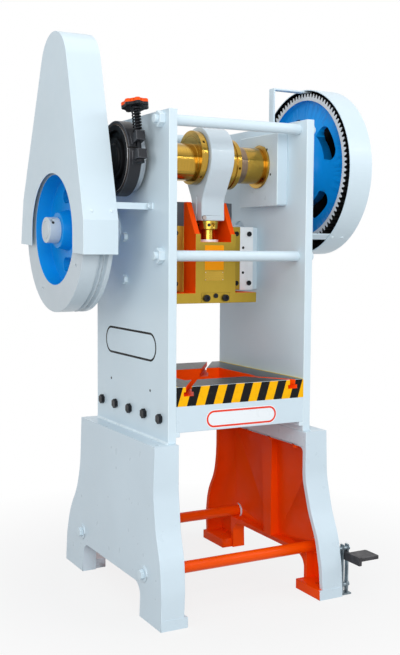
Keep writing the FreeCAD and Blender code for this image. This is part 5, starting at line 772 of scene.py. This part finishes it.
for node in ("left_side_plate", "right_side_plate"):
    dress(node, node + "_painted", [PALE], edge=PALE_HIGHLIGHT, width=2.0)
LEG_CUTS = [((0, 0, RIM_BOTTOM), (0, 0, 1), on_rim), ((0, RIM_BACK, 0), (0, 1, 0), on_rim),
            ((0, 0, TOE_TOP), (0, 0, 1), on_outline),
            ((0, LEG_LOW.y + OUTLINE_STRIP, 0), (0, 1, 0), on_outline),
            ((0, LEG_HIGH.y - OUTLINE_STRIP, 0), (0, 1, 0), on_outline)]
for side, name in SIDES:
    dress(name + "_leg", name + "_leg_painted", [PALE_CAST, ORANGE_CAST], leg_finish(side), width=2.0,
          cuts=LEG_CUTS, rounded=outside_hollow)
dress("bed", "bed_casting", [PALE_CAST, BED_STEEL, ORANGE_CAST], bed_finish, width=1.2)
striped_front()
for side, name in SIDES:
    flat_piece("bed_yellow_line_" + name, "frame", "stripe_paint", YELLOW_LINE,
               (side * 245.0, 0.0, BED_HIGH.z), UPWARD, outline_points(9.0, 596.0, 1.0, 2), thick=0.3)
# The seam between a plate and the leg's top as a small hollow fillet, along the plate's depth, in a lighter
# paint as a painted highlight.
seam = [(-0.5, -0.5), (8.0, -0.3), (4.4, 1.1), (2.2, 2.2), (1.1, 4.4), (-0.3, 8.0)]
for side, name in SIDES:
    flat_piece(name + "_plate_seam", "frame", "pale_paint", PALE_HIGHLIGHT,
               (-side * PLATE_LOW.x, side * PLATE_HIGH.y, PLATE_LOW.z), ((side, 0, 0), (0, 0, 1)), seam,
               thick=PLATE_HIGH.y - PLATE_LOW.y)
for node in ("plate_tie_rods", "tie_rod_nuts"):
    dress(node, node + "_painted", [PALE], edge=PALE_HIGHLIGHT, width=1.5)
coat("painted", ORANGE, 1.5, "leg_tie_rods")

# Badges without a name: an outline on the left plate, and a white ground with an outline on the bed.
PILL_STEPS = 16
BADGE_SKIN = 0.3
flat_piece("plate_pill_outline", "frame", "pale_paint", BLACK_LINE, (PLATE_LOW.x, 3.0, 888.0), LEFTWARD,
           outline_points(426.0, 98.0, 48.9, PILL_STEPS), outline_points(411.0, 83.0, 41.4, PILL_STEPS),
           thick=BADGE_SKIN)
flat_piece("apron_pill_ground", "frame", "pale_paint", BADGE_GROUND, (0.0, BED_LOW.y, 652.0), FORWARD,
           outline_points(279.0, 63.0, 31.4, PILL_STEPS), thick=BADGE_SKIN)
flat_piece("apron_pill_outline", "frame", "pale_paint", RED_LINE, (0.0, BED_LOW.y - BADGE_SKIN, 652.0),
           FORWARD, outline_points(273.0, 57.0, 28.4, PILL_STEPS),
           outline_points(260.5, 44.5, 22.2, PILL_STEPS), thick=BADGE_SKIN)


# Heights between which the bolts under the legs' tops and those of the bed lie.
LEG_BOLTS = (500.0, 530.0)
LEG_BOLT_PARTING = 527.0
BED_BOLTS = (620.0, 700.0)


def bolt_finish(normal, place, corners):
    """The bed's bolts are black; the others are painted over, orange in the legs' hollows."""
    if LEG_BOLTS[0] < place.z < LEG_BOLTS[1]:
        return 2
    return 0 if BED_BOLTS[0] < place.z < BED_BOLTS[1] else 1


def screw_row(node, name, radius, height):
    """Cap screws with sockets in place of a node's plain bolts, one at each solid's head."""
    cloth = opened(joined_copy(node, name + "_source"))
    marks = []
    seen = set()
    for first in cloth.verts:
        if first in seen:
            continue
        seen.add(first)
        points, front = [], [first]
        while front:
            vertex = front.pop()
            points.append(vertex.co / MM)
            others = {edge.other_vert(vertex) for edge in vertex.link_edges} - seen
            seen |= others
            front += others
        head = min(point.y for point in points)
        across, up = [point.x for point in points], [point.z for point in points]
        seat = ((min(across) + max(across)) / 2, head + height, (min(up) + max(up)) / 2)
        marks.append((seat, (0, -1, 0), (radius, radius, height)))
    cloth.free()
    heads = grow(name + "_heads", CAP_SCREWS, marks, BODY_OF[node], SLOT_OF[node], 0.6, Socket=0.52,
                 Finish=BLACK_STEEL)
    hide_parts(node)


BRACKET_PARTING = 214.0


def bracket_finish(normal, place, corners):
    """Ground where the slide's keeper sits, painted where it meets the side plate."""
    return 1 if abs(place.x) > BRACKET_PARTING or place.y > 0 else 0


dress("frame_bolts", "frame_bolts_finished", [BLACK_STEEL, PALE, ORANGE_CAST], bolt_finish, width=1.2,
      cuts=[((0, 0, LEG_BOLT_PARTING), (0, 0, 1))])
coat("painted", PALE, 0.8, "small_bolts")
for side in ("left", "right"):
    dress(side + "_bearing_block", side + "_bearing_block_painted", [PALE_CAST], edge=PALE_HIGHLIGHT, width=2.5)
    coat("turned", BRONZE, 1.0, side + "_main_bush")
    coat("painted", PALE_CAST, 1.5, side + "_shaft_housing")
    dress(side + "_gib_bracket", side + "_gib_bracket_ground", [STEEL_FLAT, PALE], bracket_finish, width=1.0,
          cuts=[((-BRACKET_PARTING, 0, 0), (1, 0, 0)), ((BRACKET_PARTING, 0, 0), (1, 0, 0))])
    coat("ground", GOLD_FLAT, 1.0, side + "_gib_keeper")
screw_row("gib_bolts", "gib_screw", radius=9.0, height=6.0)

# Depth and height of each tie rod between the plates; the last one's end is measured for its radius.
ROD_AXES = ((-250.0, 1635.5), (250.0, 1635.5), (-250.0, 1195.0))
ROD_END = 300.5
rod_points = [vertex.co / MM for vertex in NODES["plate_tie_rods"].data.vertices]
low_front_end = [p for p in rod_points if abs(p.x) > 306.0 and p.y < 0 and p.z < 1300.0]
rod_radius = max(about(p, ROD_AXES[-1]) for p in low_front_end)
rod_ends = [((side * ROD_END, *axis), (side, 0, 0), (rod_radius, rod_radius, 9.5))
            for axis in ROD_AXES for side in (-1, 1)]
grow("tie_rod_threads", THREADS, rod_ends, "frame", "pale_paint", Turns=4.0, Crest=0.035, Finish=PALE)

small = [surface_mark("left_side_plate", (-330, depth, level), (1, 0, 0), (4.6, 0.5))
         for depth, level in ((166.5, 745), (-163.5, 741))]
for side, name in SIDES:
    for depth, level in ((-109.6, 1576.0), (-134.0, 1486.0), (9.6, 1576.0), (34.0, 1486.0)):
        start = (side * 150, depth, level)
        small.append(surface_mark(name + "_bearing_block", start, (side, 0, 0), (4.2, 0.8)))
    for level in (1133.0, 1224.0):
        small.append(surface_mark(name + "_gib_bracket", (side * 153.7, -80, level), (0, 1, 0), (5.0, 0.6)))
    small.append(surface_mark(name + "_main_bush", (side * 150, -95, 1471.3), (side, 0, 0), (3.6, 0.8)))
set_screws("frame_set_screws", "frame", small)

rivets = [surface_mark("belt_guard", (x, -400, 1339), (0, 1, 0), (5.5, 3.2)) for x in (-488.0, -419.0)]
rivets += [surface_mark("gear_guard", (x, -450, 1259), (0, 1, 0.02), (6.0, 3.4)) for x in (412.0, 455.0)]
grow("guard_rivets", DOMES, rivets, "frame", "pale_paint", Finish=PALE_HIGHLIGHT)


# ------------------------ crank and connecting rod


# Places along the crankshaft where its finish changes; left of the first, its end inside the drum is darkened
# as painted shade.
DARK_END = -291.0
WORN_FROM = 88.0
WORN_TO = 126.0
DRUM_RIM = 100.0


def crank_finish(normal, place, corners):
    """Oiled turned steel, with a worn band beside the right ring, and its end in the drum darkened as painted
    shade.
    """
    if place.x < DARK_END:
        return 2
    return 1 if WORN_FROM - NEAR / 2 < place.x < WORN_TO + NEAR else 0


def drum_finish(normal, place, corners):
    """A bright rim round a face darkened as painted shade."""
    return 1 if abs(normal.x) > MAINLY or about(place, CRANK_CENTRE) < DRUM_RIM else 0


dress("crankshaft", "crankshaft_turned", [GOLD_TURNED, GOLD_WORN, DRUM_PAINTED_SHADE], crank_finish, width=1.5,
      cuts=[((place, 0, 0), (1, 0, 0)) for place in (WORN_FROM, WORN_TO, DARK_END)])
coat("turned", GOLD_TURNED, 1.0, "pin_ring", "shaft_ring")
dress("brake_drum", "brake_drum_turned", [STEEL_TURNED, DRUM_PAINTED_SHADE], drum_finish, width=1.0)
coat("turned", STEEL_TURNED, 1.5, "clutch_sleeve")
coat("turned", STEEL_TURNED, 1.0, "gear_retainer")
dress("conrod", "conrod_painted", [ROD_PAINT], width=4.0, segments=4)
coat("turned", BRONZE, 1.0, "conrod_bush")
coat("turned", GOLD_TURNED_Z, 0.8, "ball_screw")
coat("turned", GOLD_TURNED_Z, 1.5, "lock_collar")
coat("painted", PINCH_TONE, 0.8, "pinch_bolt")
set_screws("lock_collar_screw", "connecting_rod",
           [surface_mark("lock_collar", (-22, -150, 1303), (0.1, 1, 0), (6.0, 0.8))])


# ------------------------ slide


# Places on the ram: its front, its grey tongue, its flange's top and its ground cheeks beside the plates.
RAM_FRONT = box_of("ram")[0].y
RAM_FRONT_FACES = RAM_FRONT + 12.0
TONGUE_BOTTOM = 1299.0
TONGUE_FRONT = -45.0
FLANGE_TOP = 1064.0
CHEEK_TOP = 1244.0
CHEEK_REACH = 81.0


def ram_finish(normal, place, corners):
    """Machined where it faces forward or carries the tool, orange within the fins, grey tongue."""
    if place.z > TONGUE_BOTTOM and place.y > TONGUE_FRONT and abs(normal.x) < MAINLY:
        return 2
    if normal.y < -SQUARELY and place.y < RAM_FRONT_FACES:
        return 0
    if place.z < FLANGE_TOP + NEAR:
        return 1 if normal.z > SQUARELY and place.y > RAM_FRONT + NEAR else 0
    if normal.y < -SQUARELY and place.z < CHEEK_TOP and abs(place.x) > CHEEK_REACH:
        return 0
    return 1


dress("ram", "ram_finished", [GOLD_FLAT, ORANGE_CAST, SLATE_CAST], ram_finish, width=1.2,
      cuts=[((0, 0, TONGUE_BOTTOM), (0, 0, 1))])
coat("ground", GOLD_FLAT, 0.8, "shank_clamp")
coat("turned", STEEL_FLAT, 1.0, "ball_cap")
screw_row("clamp_bolts", "clamp_screw", radius=12.5, height=9.0)
set_screws("ram_middle_screw", "slide", [surface_mark("shank_clamp", (0, -200, 1054), (0, 1, 0), (8.5, 4.0))],
           width=0.4, socket=0.5)
flat_piece("ram_amber_plate", "slide", "ram_paint", PLATE_AMBER, (-6.5, RAM_FRONT, 1188.0), FORWARD,
           outline_points(76.0, 87.0, 2.0, 4))
flat_piece("ram_small_plate", "slide", "machined_steel", GOLD_TURNED_Z, (-6.5, RAM_FRONT, 1123.4), FORWARD,
           outline_points(76.0, 33.0, 2.0, 4))
plate_pins = [surface_mark("ram", (x, -200, z), (0, 1, 0), (1.8, 1.4))
              for x in (-41.0, 28.0) for z in (1110.5, 1136.5)]
grow("ram_plate_pins", DOMES, plate_pins, "slide", "machined_steel", Finish=STEEL_TURNED)


# ------------------------ wheels


# Radii that part the finishes of the gear and of the flywheel.
GEAR_RIM_INSIDE = 249.0
GEAR_TOOTH_ROOTS = 262.0
GEAR_BORE = 70.0
WHEEL_RIM_INSIDE = 191.0
WHEEL_RIM_OUTSIDE = 206.0
WHEEL_BORE = 40.0


def gear_finish(normal, place, corners):
    """Bare cut rim and bore, teeth darkened by grease and by painted shade in their gaps, blue web and hub.
    """
    radii = [about(corner, CRANK_CENTRE) for corner in corners]
    sideways = abs(normal.x) > MAINLY
    if min(radii) > GEAR_RIM_INSIDE and (sideways or max(radii) > GEAR_TOOTH_ROOTS):
        return 0 if sideways else 2
    return 0 if max(radii) < GEAR_BORE and not sideways else 1


def wheel_finish(normal, place, corners):
    """Pale rim; blue inside it, and a bare bore."""
    radii = [about(corner, SHAFT_CENTRE) for corner in corners]
    if min(radii) > WHEEL_RIM_INSIDE and not (max(radii) < WHEEL_RIM_OUTSIDE and abs(normal.x) < SQUARELY):
        return 0
    return 2 if max(radii) < WHEEL_BORE else 1


dress("drive_gear", "drive_gear_finished", [TOOTH_STEEL, BLUE_CAST, TOOTH_GREASE_AND_SHADE], gear_finish, width=0.0)
coat("turned", BRONZE, 0.0, "gear_bush")
coat("cut", TOOTH_STEEL, 0.0, "pinion")
coat("turned", PALE_GREY, 0.8, "back_shaft")
dress("flywheel", "flywheel_finished", [PALE_GREY, BLUE_CAST, STEEL_TURNED], wheel_finish, width=1.5)
dress("flywheel_collar", "flywheel_collar_painted", [PALE_GREY], width=2.0, segments=3)
set_screws("flywheel_collar_screw", "fast_shaft",
           [surface_mark("flywheel_collar", (-519.7, 60, 1345), (0, 57.7, -39), (5.2, 0.8))], HOLE_DARK)


# ------------------------ guards


GUARD_CENTRE = (-50.0, 1505.0)
GUARD_FACE = 480.0


def guard_finish(normal, place, corners):
    """Black inside the drum, pale outside."""
    if abs(normal.x) < MAINLY:
        outward = normal.y * (place.y - GUARD_CENTRE[0]) + normal.z * (place.z - GUARD_CENTRE[1])
        return 1 if outward < 0 else 0
    return 1 if normal.x < 0 and place.x > GUARD_FACE else 0


dress("belt_guard", "belt_guard_painted", [PALE], edge=PALE_HIGHLIGHT, width=0.9)
coat("painted", PALE, 0.8, "belt_guard_strap")
dress("gear_guard", "gear_guard_painted", [PALE, GUARD_BLACK], guard_finish, width=0.0)
coat("painted", PALE, 1.0, "gear_guard_upper_strap", "gear_guard_lower_strap")


# ------------------------ brake


KNOB_LEAN = math.radians(13)
KNOB_AXIS = Vector((0.0, math.sin(KNOB_LEAN), math.cos(KNOB_LEAN)))
KNOB_PARTING = Vector((-332.0, -159.0, 1687.0))
# Between these radii a brake shoe is its arc, whose thickness is brought down to a share.
SHOE_INSIDE = 116.5
SHOE_OUTSIDE = 150.5
SHOE_SLIMMING = 0.27


def knob_finish(normal, place, corners):
    """The knob's top is orange, the rest black."""
    return 0 if (place - KNOB_PARTING).dot(KNOB_AXIS) > 0 else 1


def slim_shoe(point):
    """Thins the shoe's arc round the drum and leaves its lugs, so that they end in sloping arms."""
    radius = about(point, CRANK_CENTRE)
    if not SHOE_INSIDE < radius < SHOE_OUTSIDE:
        return point
    slim = SHOE_INSIDE + (radius - SHOE_INSIDE) * SHOE_SLIMMING
    share = slim / radius
    return Vector((point.x, CRANK_CENTRE[0] + (point.y - CRANK_CENTRE[0]) * share,
                   CRANK_CENTRE[1] + (point.z - CRANK_CENTRE[1]) * share))


for node in ("upper_brake_shoe", "lower_brake_shoe"):
    dress(node, node + "_painted", [DARK_CAST], edge=DARK_HIGHLIGHT, width=1.5, form=slim_shoe)
coat("fitted", LINING, 0.0, "brake_linings")
coat("painted", DARK_CAST, 1.5, "brake_anchor")
coat("blackened", BLACK_STEEL, 0.8, "brake_bolt")
dress("brake_spring", "brake_spring_blackened", [BLACK_STEEL], width=0.0, angle=80.0)
dress("brake_knob", "brake_knob_moulded", [ORANGE, BLACK_STEEL], knob_finish, width=2.5, segments=3,
      cuts=[(KNOB_PARTING, KNOB_AXIS)])


# ------------------------ pedal and trip


coat("steel", PEDAL_STEEL, 1.5, "pedal")
coat("steel", GREY_STEEL, 0.8, "pedal_guide", "pivot_studs")
coat("steel", GREY_STEEL, 0.6, "trip_rod")
coat("steel", GREY_STEEL, 0.8, "trip_rod_guide")
coat("painted", DARK_CAST, 1.0, "trip_latch")


# ------------------------ camera, light and floor


# The photograph's viewpoint, solved from the object's edges: degrees, metres and lens millimetres.
CAMERA_YAW = 28.395
CAMERA_PITCH = 4.568
CAMERA_ROLL = 0.370
CAMERA_PLACE = (-1.68485, -3.11336, 1.21607)
CAMERA_LENS = 53.58
WORLD_LEVEL = 0.42
# The floor glows by a share that rises from the press outwards, between two distances.
FLOOR_REACH = 24.0
FADE_FROM = 0.55
FADE_TO = 1.5
GLOW_NEAR = 0.83
GLOW_FAR = 1.0


def set_camera():
    """The camera, turned right by the yaw, down by the pitch and then about its own view."""
    yaw, pitch, roll = (math.radians(angle) for angle in (CAMERA_YAW, CAMERA_PITCH, CAMERA_ROLL))
    ahead = Vector((math.sin(yaw) * math.cos(pitch), math.cos(yaw) * math.cos(pitch), -math.sin(pitch)))
    level = Vector((math.cos(yaw), -math.sin(yaw), 0.0))
    upright = level.cross(ahead)
    right = level * math.cos(roll) + upright * math.sin(roll)
    above = upright * math.cos(roll) - level * math.sin(roll)
    turn = Matrix((right, above, -ahead)).transposed().to_4x4()
    camera = stand("camera", bpy.data.cameras.new("camera"))
    camera.matrix_world = Matrix.Translation(Vector(CAMERA_PLACE)) @ turn
    camera.data.sensor_width = 36.0
    camera.data.lens = CAMERA_LENS
    camera.data.clip_end = 60.0
    bpy.context.scene.camera = camera


def area_lamp(name, place, aim, size, power):
    """A soft box in metres and watts, turned to a height above the press's middle."""
    lamp = bpy.data.lights.new(name, "AREA")
    lamp.shape = "RECTANGLE"
    lamp.size, lamp.size_y = size
    lamp.energy = power
    holder = stand(name, lamp)
    holder.location = place
    holder.rotation_euler = (Vector((0, 0, aim)) - Vector(place)).to_track_quat("-Z", "Y").to_euler()


def seen_directly(graph):
    """One for camera, glossy and transmission rays, nought for the rays that carry light."""
    rays = graph.add("ShaderNodeLightPath")
    total = rays.outputs["Is Camera Ray"]
    for output in ("Is Glossy Ray", "Is Transmission Ray"):
        either = graph.add("ShaderNodeMath", operation="MAXIMUM")
        graph.link(total, either.inputs[0])
        graph.link(rays.outputs[output], either.inputs[1])
        total = either.outputs[0]
    return total


def set_world():
    """Soft pale light all round, seen as plain white."""
    world = bpy.data.worlds.new("studio")
    bpy.context.scene.world = world
    world.use_nodes = True
    graph = Graph(world.node_tree)
    mix = graph.add("ShaderNodeMixShader")
    graph.link(seen_directly(graph), mix.inputs[0])
    for place, colour, strength in ((1, (0.93, 0.96, 1.0, 1.0), WORLD_LEVEL), (2, (1.0, 1.0, 1.0, 1.0), 1.0)):
        background = graph.add("ShaderNodeBackground")
        background.inputs["Color"].default_value = colour
        background.inputs["Strength"].default_value = strength
        graph.link(background.outputs[0], mix.inputs[place])
    graph.link(mix.outputs[0], graph.add("ShaderNodeOutputWorld").inputs["Surface"])


def lay_floor():
    """A pale floor that keeps the shadow near the press and fades to white further out."""
    mesh = bpy.data.meshes.new("floor")
    corners = [(x * FLOOR_REACH, y * FLOOR_REACH, 0) for x, y in ((-1, -1), (1, -1), (1, 1), (-1, 1))]
    mesh.from_pydata(corners, [], [(0, 1, 2, 3)])
    finish = Finish("studio_floor")
    finish.set(Base_Color=(0.55, 0.55, 0.55, 1.0), Roughness=0.9, Specular_IOR_Level=0.1)
    glow = finish.add("ShaderNodeEmission")
    glow.inputs["Color"].default_value = (1.0, 1.0, 1.0, 1.0)
    glow.inputs["Strength"].default_value = 1.0
    distance = finish.add("ShaderNodeVectorMath", operation="LENGTH")
    finish.join(finish.place, "Object", distance, "Vector")
    fade = finish.add("ShaderNodeMapRange")
    for socket, value in (("From Min", FADE_FROM), ("From Max", FADE_TO), ("To Min", GLOW_NEAR),
                          ("To Max", GLOW_FAR)):
        fade.inputs[socket].default_value = value
    finish.join(distance, "Value", fade, "Value")
    share = finish.add("ShaderNodeMath", operation="MULTIPLY")
    finish.link(seen_directly(finish), share.inputs[0])
    finish.link(fade.outputs["Result"], share.inputs[1])
    mix = finish.add("ShaderNodeMixShader")
    for node, socket in ((share, 0), (finish.shader, 1), (glow, 2)):
        finish.link(node.outputs[0], mix.inputs[socket])
    finish.link(mix.outputs[0], finish.output.inputs["Surface"])
    mesh.materials.append(finish.material)
    floor = stand("floor", mesh)


set_camera()
set_world()
lay_floor()
area_lamp("front_soft_box", (-1.8, -4.4, 2.6), 1.1, (3.0, 3.0), 111.0)
area_lamp("left_soft_box", (-4.6, -1.6, 2.6), 1.2, (3.0, 3.0), 52.0)
area_lamp("right_soft_box", (3.8, -2.6, 2.8), 1.0, (2.6, 2.6), 40.0)
area_lamp("top_soft_box", (0.0, -0.6, 5.0), 1.0, (3.4, 3.4), 40.0)
area_lamp("strip_light", (1.9, -3.0, 2.94), 1.5, (3.2, 0.06), 13.0)

bpy.context.scene.view_settings.view_transform = "Standard"
